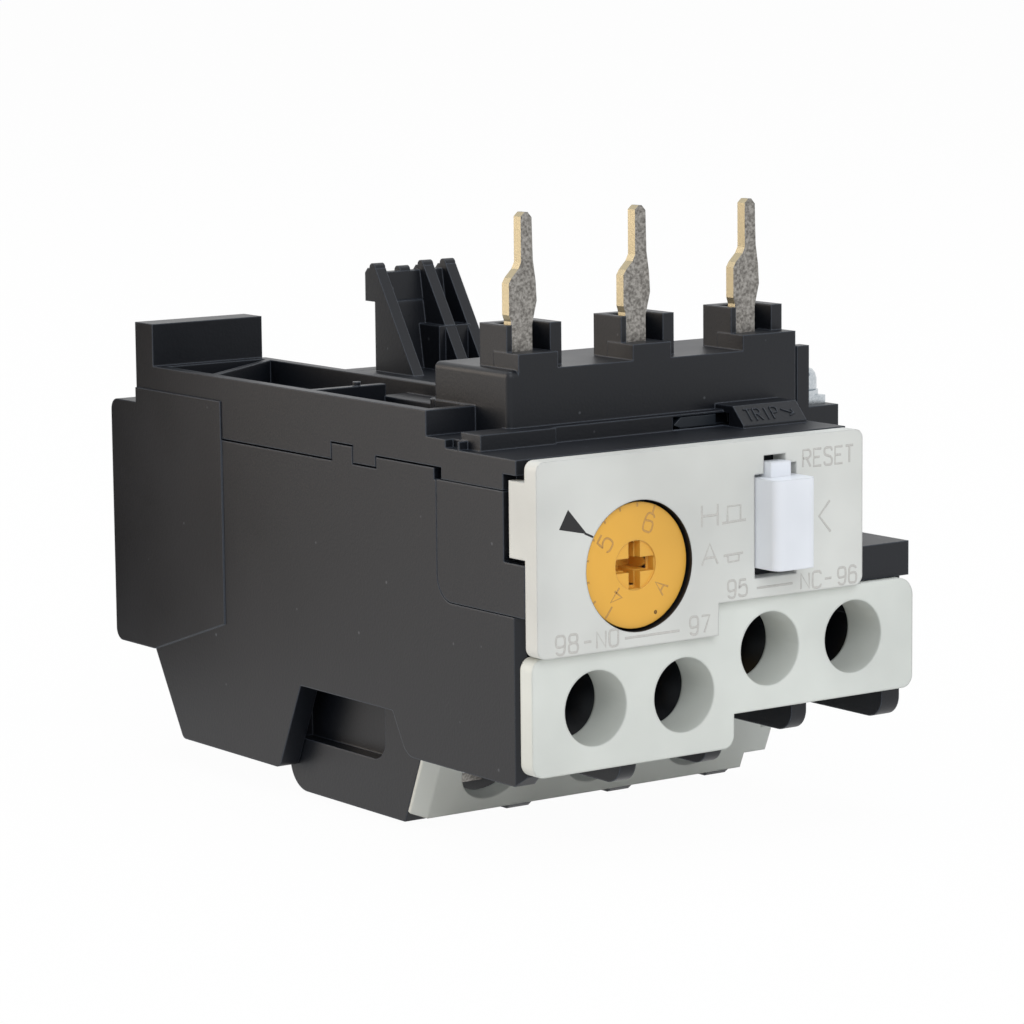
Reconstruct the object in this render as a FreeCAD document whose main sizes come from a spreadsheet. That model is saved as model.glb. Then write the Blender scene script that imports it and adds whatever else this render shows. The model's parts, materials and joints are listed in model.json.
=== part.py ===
"""Thermal overload relay, three poles, plugged by its blades into a contactor.

Housing frame, in millimetres: x from the left side wall, y from the face of the
auxiliary terminals back to the mounting face, z up from the lowest point of the
main terminal block.  DATUM moves that frame to the part's origin, which lies
below the middle of the whole relay.
"""
import FreeCAD, Part
import math
import os
import Sketcher
from types import SimpleNamespace

SIZES = (
    # name, millimetres, what it is
    ("width", 45.0, "housing, outside"),
    ("depth", 73.7, "terminal face to mounting face"),
    ("wall", 2.2, "side walls of the lower housing"),
    ("skin", 1.1, "walls of the upper housing"),
    ("fit", 0.1, "gap between mouldings that fit together"),
    ("seam", 0.18, "open seam between the two housings"),
    ("running", 0.05, "radial clearance of shafts and blades"),
    ("parting", 34.8, "height of the joint between the two housings"),
    # lower housing, side view
    ("toe_z", 7.9, "bottom of the side walls at the front"),
    ("notch_front", 20.2, "front end of the notch over the main terminals"),
    ("notch_top", 11.9, "top of that notch"),
    ("notch_back", 38.5, "back end of the notch at its top"),
    ("leg_front", 42.6, "front of the rear leg at its foot"),
    ("leg_back", 60.9, "back of the rear leg at its foot"),
    ("leg_z", 3.1, "foot of the rear leg"),
    ("flange_y", 66.0, "front of the mounting flange"),
    ("flange_z", 11.7, "bottom of the mounting flange"),
    ("flange_top", 37.0, "top of the mounting flange"),
    ("flange_step", 2.7, "shoulder of the flange behind its front"),
    ("flange_proud", 0.15, "how far the flange stands out of the side walls"),
    ("rear_step", 52.2, "where the side wall rises towards the rear"),
    ("panel_depth", 14.8, "side panel of the contact block, front to back"),
    ("panel_z", 23.4, "bottom of that side panel"),
    ("latch_front", 28.7, "latch key of the side walls, front"),
    ("latch_back", 32.2, "latch key of the side walls, back"),
    ("latch_rise", 1.5, "latch key above the joint"),
    ("key_front", 15.1, "long key of the side walls, front"),
    ("key_back", 24.6, "long key of the side walls, back"),
    ("key_rise", 0.9, "long key above the joint"),
    # upper housing
    ("wall_rise", 2.4, "left side wall above the deck"),
    ("wall_front", 16.3, "front end of that wall"),
    ("pocket_right", 12.4, "right side of the open top pocket"),
    ("rib_y", 36.7, "straight rib across the pocket"),
    ("rib_back", 54.5, "slanting rib across the pocket, left end"),
    ("rib_skew", 8.2, "how far that rib runs back on its right"),
    ("rib_thick", 0.9, "ribs in the pocket"),
    ("boss", 1.0, "radius of the boss in the pocket"),
    ("deck", 38.5, "deck behind and beside the blade block"),
    ("ledge_drop", 0.8, "front ledge over the cover, below the deck"),
    ("ledge_front", 2.2, "front of that ledge"),
    ("step_left", 9.5, "low step behind the ledge, left end"),
    ("step_front", 9.0, "low step behind the ledge, front"),
    ("step_rise", 1.5, "height of that step"),
    ("wedge_left", 29.7, "trip wedge, left end"),
    ("wedge_right", 37.4, "trip wedge, right end"),
    ("wedge_front", 6.7, "trip wedge, front"),
    ("wedge_rise", 2.0, "trip wedge, height"),
    ("block_left", 5.6, "blade block, left end"),
    ("block_right", 39.6, "blade block, right end"),
    ("block_front", 11.0, "blade block, front face"),
    ("block_back", 22.8, "blade block, back face"),
    ("block_rise", 6.0, "blade block above the deck"),
    ("platform", 1.5, "platform round each blade, above the block"),
    ("platform_back", 15.0, "back of those platforms"),
    ("shroud", 4.0, "shroud behind each blade, above the block"),
    ("shroud_thick", 1.3, "walls of the shrouds"),
    ("shroud_right", 4.4, "right side of a shroud from its blade"),
    ("shroud_back", 17.2, "back of the shrouds"),
    ("upstand_front", 65.3, "rear upstand, front"),
    ("upstand_back", 68.7, "rear upstand, back"),
    ("upstand_rise", 6.7, "rear upstand above the deck"),
    ("hook_left", 27.2, "left side of the hook"),
    ("hook_right", 37.5, "right side of the hook"),
    ("hook_rise", 10.8, "top of the hook above the deck"),
    ("hook_foot", 7.1, "length of the hook's ribs on the deck"),
    ("hook_rib", 1.3, "thickness of the hook's ribs and web"),
    ("hook_bump", 0.55, "radius of the bumps on top of the ribs"),
    ("nose_rise", 7.3, "lower edge of the hook's nose above the deck"),
    ("nose_out", 1.8, "how far the nose stands out"),
    # blades
    ("pole_pitch", 13.2, "between blades"),
    ("pole_first", 8.65, "first blade from the left side"),
    ("blade_y", 13.1, "front face of the blades"),
    ("blade_thick", 1.1, "blade metal"),
    ("blade_width", 2.4, "blade where it leaves the platform"),
    ("blade_rise", 14.3, "tips of the blades above the block"),
    ("blade_foot", 36.0, "lower end of the blades inside the housing"),
    # front cover and auxiliary terminal cover
    ("cover_y", -0.9, "face of the front cover"),
    ("plate", 1.8, "thickness of both covers"),
    ("cover_right", 37.9, "right edge of the front cover"),
    ("cover_top", 37.8, "top edge of the front cover"),
    ("cover_low", 20.0, "bottom edge of the front cover, left part"),
    ("cover_high", 23.0, "bottom edge of the front cover, right part"),
    ("cover_step", 20.6, "where that edge steps up"),
    ("tab_low", 28.8, "cover tab on the left side, bottom"),
    ("tab_high", 35.8, "cover tab on the left side, top"),
    ("tab_back", 3.3, "cover tab on the left side, back"),
    ("aux_low", 9.0, "bottom edge of the terminal cover, left part"),
    ("aux_high", 12.2, "bottom edge of the terminal cover, right part"),
    ("aux_step", 23.1, "where that edge steps up"),
    # auxiliary terminals
    ("aux_first", 7.1, "first auxiliary terminal from the left"),
    ("aux_pitch", 10.15, "between auxiliary terminals"),
    ("aux_left_z", 14.7, "axis of the two left terminals"),
    ("aux_right_z", 17.9, "axis of the two right terminals"),
    ("aux_bore", 3.5, "radius of the screwdriver holes"),
    ("aux_tube", 4.9, "depth of the screwdriver holes"),
    ("aux_half", 4.2, "half the width of a terminal chamber"),
    ("aux_back", 12.8, "back of the terminal chambers"),
    ("aux_plate", 3.4, "half the width of a terminal plate"),
    ("aux_shank", 1.5, "radius of the screws"),
    ("aux_head", 2.7, "radius of the screw heads"),
    ("aux_head_tall", 1.9, "height of the screw heads"),
    ("aux_clamp", 3.0, "half the width of the clamp plates"),
    ("aux_clamp_thick", 0.7, "thickness of the clamp plates"),
    # setting dial
    ("dial_x", 11.48, "dial axis"),
    ("dial_z", 27.4, "dial axis"),
    ("dial_radius", 5.8, "dial disc"),
    ("dial_gap", 0.25, "gap round the dial disc"),
    ("dial_sink", 0.6, "dial disc behind the face of the cover"),
    ("dial_recess", 2.3, "radius of the recess round the cross slot"),
    ("dial_shaft", 2.0, "radius of the dial shaft"),
    ("cross_arm", 2.2, "half the length of the cross slot"),
    ("cross_half", 0.66, "half the width of the cross slot"),
    ("cross_deep", 1.7, "bottom of the cross slot behind the face of the cover"),
    ("cam_radius", 2.3, "setting cam"),
    ("cam_throw", 0.8, "eccentricity of the setting cam"),
    ("cam_thick", 1.8, "thickness of the setting cam"),
    # reset button
    ("reset_left", 24.95, "left side of the button"),
    ("reset_wide", 4.8, "button width"),
    ("reset_low", 25.85, "bottom of the button"),
    ("reset_tall", 8.4, "button height"),
    ("reset_proud", 3.2, "button in front of the cover"),
    ("reset_travel", 2.2, "how far the button goes in"),
    ("reset_foot", 3.5, "top of the foot that stops the button"),
    ("reset_stop", 1.1, "thickness of that foot"),
    ("key_slot", 1.4, "height of the mark over the button"),
    # main terminals
    ("main_first", 10.05, "first main terminal from the left"),
    ("main_pitch", 12.25, "between main terminals"),
    ("main_bore", 3.75, "radius of the holes in the terminal cover"),
    ("main_axis", 5.05, "terminal axes above the lower edge of the slanted cover"),
    ("main_y", 22.0, "lower edge of the slanted cover, front face"),
    ("main_z", 1.1, "lower edge of the slanted cover, height"),
    ("main_plate", 1.6, "thickness of the slanted cover"),
    ("main_length", 15.5, "slanted cover along its slope"),
    ("lug_length", 4.6, "lug at the right of the slanted cover, along its slope"),
    ("main_behind", 5.8, "terminal plates behind the face of the slanted cover"),
    ("main_half", 3.8, "half the width of a terminal plate"),
    ("main_low", 2.6, "lower edge of the terminal plates"),
    ("load_strip", 1.0, "thickness of the terminal plates and their strips"),
    ("main_shank", 1.9, "radius of the terminal screws"),
    ("main_shank_long", 5.3, "length of their shanks"),
    ("main_head", 3.1, "radius of their heads"),
    ("main_head_tall", 2.2, "height of their heads"),
    ("main_washer", 3.6, "radius of their washers"),
    ("main_washer_thick", 0.9, "thickness of their washers"),
    ("base_back", 44.2, "main terminal block, back"),
    ("base_low", 0.6, "main terminal block, bottom"),
    ("base_top", 13.3, "main terminal block, top"),
    ("base_shelf", 2.0, "thickness of the shelf behind the terminals"),
    ("base_end", 60.0, "back end of that shelf"),
    ("chamber_half", 4.6, "half the width of a main terminal chamber"),
    ("chamber_back", 36.0, "back of the main terminal chambers"),
    ("window_front", 27.2, "window recess in the side of the block, front"),
    ("window_back", 42.5, "window recess, back"),
    ("window_low", 5.9, "window recess, bottom"),
    ("window_deep", 1.6, "window recess, depth"),
    # thermal system
    ("strip", 0.8, "thickness of bimetals and feed strips"),
    ("bimetal_tall", 5.0, "height of a bimetal"),
    ("bimetal_z", 22.4, "lower edge of a bimetal"),
    ("root_y", 57.0, "fixed end of a bimetal"),
    ("tip_y", 21.6, "free end of a bimetal"),
    ("feed_z", 31.2, "lower face of the feed strips where they run back"),
    ("feed_back", 54.5, "back end of feed strips and sleeves"),
    ("feed_half", 1.5, "half the width of a feed strip"),
    ("root_half", 2.2, "half the width of a load strip at the root"),
    ("sleeve_wall", 0.55, "wall of the insulating sleeves"),
    ("snug", 0.03, "clearance of sleeve and winding"),
    ("winding_front", 31.0, "first turn of a heater"),
    ("winding_back", 53.5, "end of the last turn of a heater"),
    ("winding_pitch", 2.4, "between turns"),
    ("winding_wide", 1.4, "width of the heater ribbon"),
    ("winding_thick", 0.35, "thickness of the heater ribbon"),
    ("bar_y", 22.6, "front face of the push bar"),
    ("bar_thick", 1.0, "thickness of both bars"),
    ("bar_space", 2.0, "push bar to pull bar"),
    ("bar_left", 4.0, "left end of both bars"),
    ("bar_right", 39.0, "right end of both bars"),
    ("bar_low", 18.5, "lower edge of both bars between their feet"),
    ("bar_top", 30.0, "top of both bars"),
    ("bar_travel", 1.2, "travel of both bars, free space in the windows too"),
    ("tilt_x", 37.8, "pivot of the differential lever"),
    ("tilt_z", 24.0, "pivot of the differential lever"),
    ("tilt_pin", 0.6, "radius of that pivot"),
    ("tilt_long", 9.0, "length of the differential lever"),
    # release lever
    ("lever_x", 40.0, "axis of the release lever"),
    ("lever_y", 17.4, "axis of the release lever"),
    ("lever_pin", 0.8, "radius of its pin"),
    ("lever_hub", 1.9, "radius of its hub"),
    ("finger_left", 34.3, "left side of its finger"),
    ("finger_wide", 1.1, "width of its finger"),
    ("post_low", 20.0, "lower end of the pin and its bracket"),
    ("post_tall", 10.0, "length of the pin"),
    # contact system
    ("room_floor", 24.2, "floor of the contact room"),
    ("room_back", 14.6, "back of the contact room"),
    ("riser_y", 10.3, "front face of the fixed contact strips"),
    ("riser_half", 1.4, "half the width of those strips"),
    ("riser_top", 29.2, "top of those strips"),
    ("riser_inset", 2.3, "how far strip 96 stands inward of its terminal"),
    ("contact_z", 27.9, "height of the contact tips"),
    ("tip_half", 0.8, "half the width of the contact tips"),
    ("tip_thick", 0.35, "thickness of the contact tips"),
    ("bridge_thick", 0.4, "thickness of the moving bridges"),
    ("bridge_half", 1.0, "half the height of the moving bridges"),
    ("carrier_front", 7.8, "front of the contact carrier"),
    ("open_gap", 2.8, "open bridge behind the front of its fixed strips"),
    ("catch_wide", 0.9, "width of the catch on the carrier"),
    # coil terminal
    ("coil_inset", 2.3, "axis of the coil screw from the right side"),
    ("coil_behind", 3.8, "axis of the coil screw behind the block's face"),
    ("coil_tab", 2.0, "half the width of the coil tab"),
    ("coil_back", 19.2, "back end of the coil tab"),
    ("coil_low", 30.0, "lower end of its leg"),
    ("coil_shank", 1.5, "radius of the coil screw"),
    ("coil_head", 2.1, "radius of its head"),
    ("coil_head_tall", 2.2, "height of its head"),
    ("coil_washer", 2.25, "radius of its washer"),
    ("coil_washer_thick", 0.5, "thickness of its washer"),
)
MAIN_TILT = 22.8  # degrees that the main terminals lean back
POLES = 3
AUX_TERMINALS = (98, 97, 95, 96)  # from left to right
LEAN_TAN = math.tan(math.radians(MAIN_TILT))
LEAN_SIN, LEAN_COS = math.sin(math.radians(MAIN_TILT)), math.cos(math.radians(MAIN_TILT))

doc = FreeCAD.newDocument("thermal_overload_relay")
sheet = doc.addObject("Spreadsheet::Sheet", "Sizes")


class Dim:
    """A length that knows its number and the expression over the sheet it comes from."""

    def __init__(self, number, text):
        self.number = number
        self.text = text

    def _with(self, other, sign, number):
        return Dim(number, f"({self.text} {sign} {dim(other).text})")

    def __add__(self, other):
        return self._with(other, "+", self.number + dim(other).number)

    def __sub__(self, other):
        return self._with(other, "-", self.number - dim(other).number)

    def __mul__(self, other):
        return self._with(other, "*", self.number * dim(other).number)

    def __truediv__(self, other):
        return self._with(other, "/", self.number / dim(other).number)

    def __radd__(self, other):
        return dim(other) + self

    def __rsub__(self, other):
        return dim(other) - self

    def __rmul__(self, other):
        return dim(other) * self

    def __neg__(self):
        return dim(0) - self


def dim(value):
    """Plain numbers become lengths that name no cell."""
    return value if isinstance(value, Dim) else Dim(float(value), f"{float(value):.6g}")


def fill_sheet():
    """Write every driving size into the sheet and return them by name."""
    found = {}
    for row, (name, number, note) in enumerate(SIZES, start=1):
        sheet.set(f"A{row}", name)
        sheet.set(f"B{row}", f"{number:g}")
        sheet.set(f"C{row}", note)
        sheet.setAlias(f"B{row}", name)
        found[name] = Dim(number, f"Sizes.{name}")
    doc.recompute()
    return SimpleNamespace(**found)


s = fill_sheet()
DATUM = (-s.width / 2, -(s.depth + s.cover_y - s.reset_proud) / 2, dim(0))
parts = {}


def bind(owner, path, length):
    owner.setExpression(path, dim(length).text)


def keep(owner, label):
    """Name a finished sub-part; its label is its file name."""
    owner.Label = label
    parts[label] = owner
    return owner


# ---------------------------------------------------------------- outlines

def rect(u0, v0, u1, v1):
    """Corners of an upright rectangle."""
    return [(u0, v0), (u1, v0), (u1, v1), (u0, v1)]


def around(u, v, half_u, half_v):
    """A rectangle about its centre."""
    return rect(u - half_u, v - half_v, u + half_u, v + half_v)


class Disc:
    """A circle in a sketch."""

    def __init__(self, u, v, radius):
        self.u, self.v, self.radius = dim(u), dim(v), dim(radius)


def pin_point(sketch, geometry, end, u, v):
    """Fix one point of the sketch to the sheet."""
    for kind, length in (("DistanceX", dim(u)), ("DistanceY", dim(v))):
        index = sketch.addConstraint(Sketcher.Constraint(kind, -1, 1, geometry, end, length.number))
        bind(sketch, f"Constraints[{index}]", length)


def draw(sketch, outline):
    """Draw one closed outline and tie each of its points to the sheet."""
    if isinstance(outline, Disc):
        middle = FreeCAD.Vector(outline.u.number, outline.v.number, 0)
        circle = Part.Circle(middle, FreeCAD.Vector(0, 0, 1), outline.radius.number)
        index = sketch.addGeometry(circle, False)
        pin_point(sketch, index, 3, outline.u, outline.v)
        size = sketch.addConstraint(Sketcher.Constraint("Radius", index, outline.radius.number))
        bind(sketch, f"Constraints[{size}]", outline.radius)
        return
    corners = [FreeCAD.Vector(dim(u).number, dim(v).number, 0) for u, v in outline]
    following = corners[1:] + corners[:1]
    first = sketch.GeometryCount
    for start, end in zip(corners, following):
        sketch.addGeometry(Part.LineSegment(start, end), False)
    count = len(corners)
    for i in range(count):
        after = first + (i + 1) % count
        sketch.addConstraint(Sketcher.Constraint("Coincident", first + i, 2, after, 1))
    for i, (u, v) in enumerate(outline):
        pin_point(sketch, first + i, 1, u, v)


class Piece:
    """One moulded or stamped piece: a PartDesign body in the housing frame."""

    def __init__(self, label, leaning=False):
        self.body = doc.addObject("PartDesign::Body", label)
        self.label = label
        base = list(DATUM)
        if leaning:
            base[1] = base[1] + s.main_y
            base[2] = base[2] + s.main_z
            lean = FreeCAD.Rotation(FreeCAD.Vector(1, 0, 0), MAIN_TILT)
            self.body.Placement = FreeCAD.Placement(FreeCAD.Vector(), lean)
        for axis, length in zip("xyz", base):
            bind(self.body, f"Placement.Base.{axis}", length)
        keep(self.body, label)

    def _sketch(self, plane, outlines, at):
        sketch = self.body.newObject("Sketcher::SketchObject", f"{self.label}_sketch")
        planes = {feature.Role: feature for feature in self.body.Origin.OriginFeatures}
        sketch.AttachmentSupport = (planes[f"{plane}_Plane"], [""])
        sketch.MapMode = "FlatFace"
        offset = -dim(at) if plane == "XZ" else dim(at)
        bind(sketch, "AttachmentOffset.Base.z", offset)
        if isinstance(outlines, Disc) or not isinstance(outlines[0], (list, Disc)):
            outlines = [outlines]
        for outline in outlines:
            draw(sketch, outline)
        return sketch

    def _feature(self, kind, sketch, low, high):
        feature = self.body.newObject(f"PartDesign::{kind}", f"{self.label}_{kind.lower()}")
        feature.Profile = sketch
        bind(feature, "Length", dim(high) - low)
        return feature

    def volume(self):
        return self.body.Shape.Volume

    def pad(self, plane, outlines, low, high):
        """Add material between two heights above one of the origin planes."""
        before = self.volume() if self.body.Tip else 0.0
        sketch = self._sketch(plane, outlines, low)
        feature = self._feature("Pad", sketch, low, high)
        feature.Reversed = plane == "XZ"
        doc.recompute()
        if self.volume() <= before:
            raise RuntimeError(f"{self.label}: {feature.Name} adds nothing")
        return self

    def pocket(self, plane, outlines, low, high):
        """Take material away between two heights above one of the origin planes."""
        before = self.volume()
        sketch = self._sketch(plane, outlines, low)
        feature = self._feature("Pocket", sketch, low, high)
        feature.Reversed = plane != "XZ"
        doc.recompute()
        if self.volume() >= before:
            raise RuntimeError(f"{self.label}: {feature.Name} cuts nothing")
        return self

    def edges(self, axis, spots):
        """Names of the edges that run along one axis through the given points."""
        keepers = [i for i in range(3) if "xyz"[i] != axis]
        wanted = [(dim(u).number, dim(v).number) for u, v in spots]
        names = []
        for number, edge in enumerate(self.body.Tip.Shape.Edges, start=1):
            ends = [(vertex.Point[keepers[0]], vertex.Point[keepers[1]]) for vertex in edge.Vertexes]
            for u, v in wanted:
                if len(ends) == 2 and all(abs(a - u) + abs(b - v) < 0.05 for a, b in ends):
                    names.append(f"Edge{number}")
        if not names:
            raise RuntimeError(f"{self.label}: no edge along {axis} at {wanted}")
        return names

    def ease(self, kind, size, axis, *spots):
        """Round ("Fillet") or bevel ("Chamfer") the edges through the given points."""
        names = self.edges(axis, spots)
        before = self.body.Tip
        feature = self.body.newObject(f"PartDesign::{kind}", f"{self.label}_{kind.lower()}")
        feature.Base = (before, names)
        bind(feature, "Radius" if kind == "Fillet" else "Size", size)
        doc.recompute()
        return self

    def round(self, size, axis, *spots):
        return self.ease("Fillet", size, axis, *spots)

    def bevel(self, size, axis, *spots):
        return self.ease("Chamfer", size, axis, *spots)


# ---------------------------------------------------------------- primitives

AXIS_TURN = {
    "x": FreeCAD.Rotation(FreeCAD.Vector(0, 1, 0), 90),
    "y": FreeCAD.Rotation(FreeCAD.Vector(1, 0, 0), -90),
    "z": FreeCAD.Rotation(),
}


def put(solid, corner):
    for axis, length, shift in zip("xyz", corner, DATUM):
        bind(solid, f"Placement.Base.{axis}", shift + length)
    return solid


def block(name, low, high):
    """A cuboid between two opposite corners."""
    solid = doc.addObject("Part::Box", name)
    for side, a, b in zip(("Length", "Width", "Height"), low, high):
        bind(solid, side, dim(b) - a)
    return put(solid, low)


def rod(name, axis, start, radius, length):
    """A round bar that runs from its start along an axis."""
    solid = doc.addObject("Part::Cylinder", name)
    solid.Placement = FreeCAD.Placement(FreeCAD.Vector(), AXIS_TURN[axis])
    bind(solid, "Radius", radius)
    bind(solid, "Height", length)
    return put(solid, start)


def fuse(name, *solids):
    joined = doc.addObject("Part::MultiFuse", name)
    joined.Shapes = list(solids)
    joined.Refine = True
    return joined


def group(name, *solids):
    """Separate solids of one kind that share a node."""
    together = doc.addObject("Part::Compound", name)
    together.Links = list(solids)
    return together


def cut(name, base, tool):
    rest = doc.addObject("Part::Cut", name)
    rest.Base = base
    rest.Tool = tool
    rest.Refine = True
    return rest



def pole_x(pole):
    return s.pole_first + pole * s.pole_pitch


def main_x(pole):
    return s.main_first + pole * s.main_pitch


def aux_x(index):
    return s.aux_first + index * s.aux_pitch


def aux_z(index):
    return s.aux_left_z if index < 2 else s.aux_right_z


def riser_x(index):
    """Fixed contact strips stand above their terminals, the last one a little inward."""
    return aux_x(index) if index < 3 else aux_x(index) - s.riser_inset


# ---------------------------------------------------------------- housings

UPPER_RIGHT = s.cover_right + 0.5    # right side of the mouldings behind the front cover
INNER_LEFT = s.wall + s.fit
INNER_RIGHT = s.width - s.wall - s.fit
LIP = s.plate + s.fit                # front of the mouldings behind the terminal cover
SHELF_TOP = s.cover_high + 3.3       # ledge of the contact block beside the front cover
BEYOND = 1.0                         # how far a cut runs past the faces it goes through
LEDGE = s.deck - s.ledge_drop        # heights that follow the deck
STEP_TOP = LEDGE + s.step_rise
WALL_TOP = s.deck + s.wall_rise
BLOCK_TOP = s.deck + s.block_rise
UPSTAND_TOP = s.deck + s.upstand_rise
BLADE_TOP = BLOCK_TOP + s.blade_rise
COIL_X, COIL_Y = s.width - s.coil_inset, s.block_front + s.coil_behind


def lower_housing():
    """Case that carries everything: two side walls, rear leg and mounting flange."""
    piece = Piece("lower_housing")
    shoulder = s.flange_y + s.flange_step
    toe = s.plate / 2
    side = [
        (LIP, s.toe_z + toe), (LIP + toe, s.toe_z), (s.notch_front, s.toe_z),
        (s.notch_front + 2.3, s.notch_top), (s.notch_back, s.notch_top),
        (s.leg_front, s.leg_z), (s.leg_back, s.leg_z), (s.flange_y, s.flange_z),
        (s.depth, s.flange_z), (s.depth, s.flange_top), (shoulder, s.flange_top),
        (shoulder, s.deck), (s.rear_step, s.deck), (s.rear_step, s.parting - s.seam),
        (LIP, s.parting - s.seam),
    ]
    piece.pad("YZ", side, 0, s.width)
    rear_face = [(s.rear_step, s.flange_z + s.wall * 2)] + side[7:13]
    piece.pad("YZ", rear_face, -s.flange_proud, 0)
    piece.pad("YZ", rear_face, s.width, s.width + s.flange_proud)
    inner_back = s.base_back + s.fit
    inside = [
        (-BEYOND, -BEYOND), (inner_back, -BEYOND), (inner_back, s.leg_z + s.wall),
        (s.leg_back - s.plate / 2, s.leg_z + s.wall), (s.flange_y - s.plate / 2, s.flange_z + s.wall),
        (s.depth - s.wall, s.flange_z + s.wall), (s.depth - s.wall, s.flange_top - s.wall),
        (shoulder - s.wall, s.flange_top - s.wall), (shoulder - s.wall, s.deck + BEYOND),
        (-BEYOND, s.deck + BEYOND),
    ]
    piece.pocket("YZ", inside, s.wall, s.width - s.wall)
    above = s.parting + BEYOND
    piece.pocket("YZ", rect(-BEYOND, s.panel_z, s.panel_depth, above), -BEYOND, s.wall)
    right_front = rect(-BEYOND, s.cover_high - s.fit, s.block_front, above)
    piece.pocket("YZ", right_front, s.width - s.wall, s.width + BEYOND)
    right_toe = rect(-BEYOND, 0, s.notch_front + 0.5, s.toe_z + s.wall / 2)
    piece.pocket("YZ", right_toe, s.width - s.wall, s.width + BEYOND)
    keys = [
        rect(s.latch_front, s.parting - 1, s.latch_back, s.parting + s.latch_rise),
        rect(s.key_front, s.parting - 1, s.key_back, s.parting + s.key_rise),
    ]
    piece.pad("YZ", keys, 0, s.wall)
    piece.round(2.4, "x", (s.panel_depth, s.panel_z))
    piece.round(2.0, "x", (s.notch_front, s.toe_z))
    piece.round(1.2, "x", (s.depth, s.flange_z), (s.depth, s.flange_top))
    piece.round(0.8, "x", (s.leg_back, s.leg_z), (s.leg_front, s.leg_z))
    piece.bevel(0.8, "z", (0, LIP))
    piece.round(2.0, "x", (LIP, s.toe_z + s.wall / 2))


def upper_housing():
    """Cover of the case: blade block with shrouds, open pocket and contactor hook."""
    piece = Piece("upper_housing")
    ledge = [
        (0, s.ledge_front), (UPPER_RIGHT, s.ledge_front), (UPPER_RIGHT, s.block_front),
        (s.width, s.block_front), (s.width, s.rear_step), (0, s.rear_step),
    ]
    piece.pad("XY", ledge, s.parting, LEDGE)
    piece.pad("XY", rect(0, s.block_front, s.width, s.rear_step), LEDGE, s.deck)
    shoulder = s.flange_y + s.flange_step - s.wall - s.fit
    piece.pad("XY", rect(INNER_LEFT, s.rear_step, INNER_RIGHT, shoulder), s.parting, s.deck)
    front_step(piece)
    blade_block(piece)
    open_pocket(piece)
    hollows(piece)
    hook(piece)
    notches = [
        rect(s.latch_front - s.seam, s.parting - 1, s.latch_back + s.seam, s.parting + s.latch_rise + s.seam),
        rect(s.key_front - 1.2, s.parting - 1, s.key_back + s.seam, s.parting + s.key_rise + s.seam),
    ]
    piece.pocket("YZ", notches, -BEYOND, INNER_LEFT)
    cover_seat = rect(0, s.parting - 1, s.tab_back + 0.9, s.parting + 1.5)
    piece.pocket("YZ", cover_seat, -BEYOND, 1.5)
    socket = rect(s.block_front + 0.2, LEDGE, s.block_front + 2.2, LEDGE + 0.8)
    piece.pocket("YZ", socket, -BEYOND, 0.9)
    piece.round(0.6, "y", (s.block_left, BLOCK_TOP))
    piece.round(0.6, "z", (s.block_left, s.block_front))


def front_step(piece):
    """Low step with the slot of the test slider, and the raised trip wedge beside it."""
    left, front, right, back = s.step_left, s.step_front, s.wedge_left, s.block_front + s.skin
    steps = [
        (1.0, front), (left, front), (left, front + 0.7), (right, front + 0.7), (right, back), (1.0, back)]
    piece.pad("XY", steps, LEDGE, STEP_TOP)
    into, ridge = s.block_front + 0.1, LEDGE + s.wedge_rise
    nose = s.wedge_front
    wedge = [(nose, LEDGE), (into, LEDGE), (into, ridge), (nose + 1.6, ridge), (nose, LEDGE + 0.3)]
    piece.pad("YZ", wedge, right, s.wedge_right)
    slot = rect(SLIDER_LEFT - 0.2, LEDGE + s.fit, SLIDER_LEFT + 7.4, STEP_TOP - 0.2)
    piece.pocket("XZ", slot, front - s.fit, s.block_front)
    stem = rect(SLIDER_LEFT + 0.6, front + 0.9, SLIDER_LEFT + 4.4, s.block_front - s.fit)
    piece.pocket("XY", stem, s.parting, LEDGE + 0.2)


def blade_block(piece):
    """Raised block with a slot, a platform and a shroud for each blade."""
    front = s.block_front
    piece.pad("XY", rect(s.block_left, front, s.block_right, s.block_back), s.deck, BLOCK_TOP)
    guard = rect(s.block_right + 0.2, front, s.block_right + 1.7, front + 1.4)
    piece.pad("XY", guard, s.deck, BLOCK_TOP)
    platforms, shrouds, slots = [], [], []
    half = s.blade_width / 2 + s.running
    open_front = s.blade_y - 0.2
    for pole in range(POLES):
        x = pole_x(pole)
        last = pole == POLES - 1
        platforms.append(rect(x - 1.9, front, s.block_right if last else x + 2.6, s.platform_back))
        left, right = x - half - 0.6, x + s.shroud_right
        inner, inner_back = right - s.shroud_thick, s.shroud_back - s.shroud_thick
        shrouds.append([
            (left, open_front), (x - half, open_front), (x - half, inner_back), (inner, inner_back),
            (inner, open_front), (right, open_front), (right, s.shroud_back), (left, s.shroud_back),
        ])
        slots.append(rect(
            x - half, s.blade_y - s.running, x + half, s.blade_y + s.blade_thick + s.running))
    piece.pad("XY", platforms, BLOCK_TOP, BLOCK_TOP + s.platform)
    piece.pad("XY", shrouds, BLOCK_TOP, BLOCK_TOP + s.shroud)
    under = rect(s.block_left + 1.4, front + 1.2, s.block_right - 1.4, s.block_back - 1.2)
    piece.pocket("XY", under, s.parting, BLOCK_TOP - 1.5)
    piece.pocket("XY", slots, s.parting, BLOCK_TOP + s.shroud)


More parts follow.
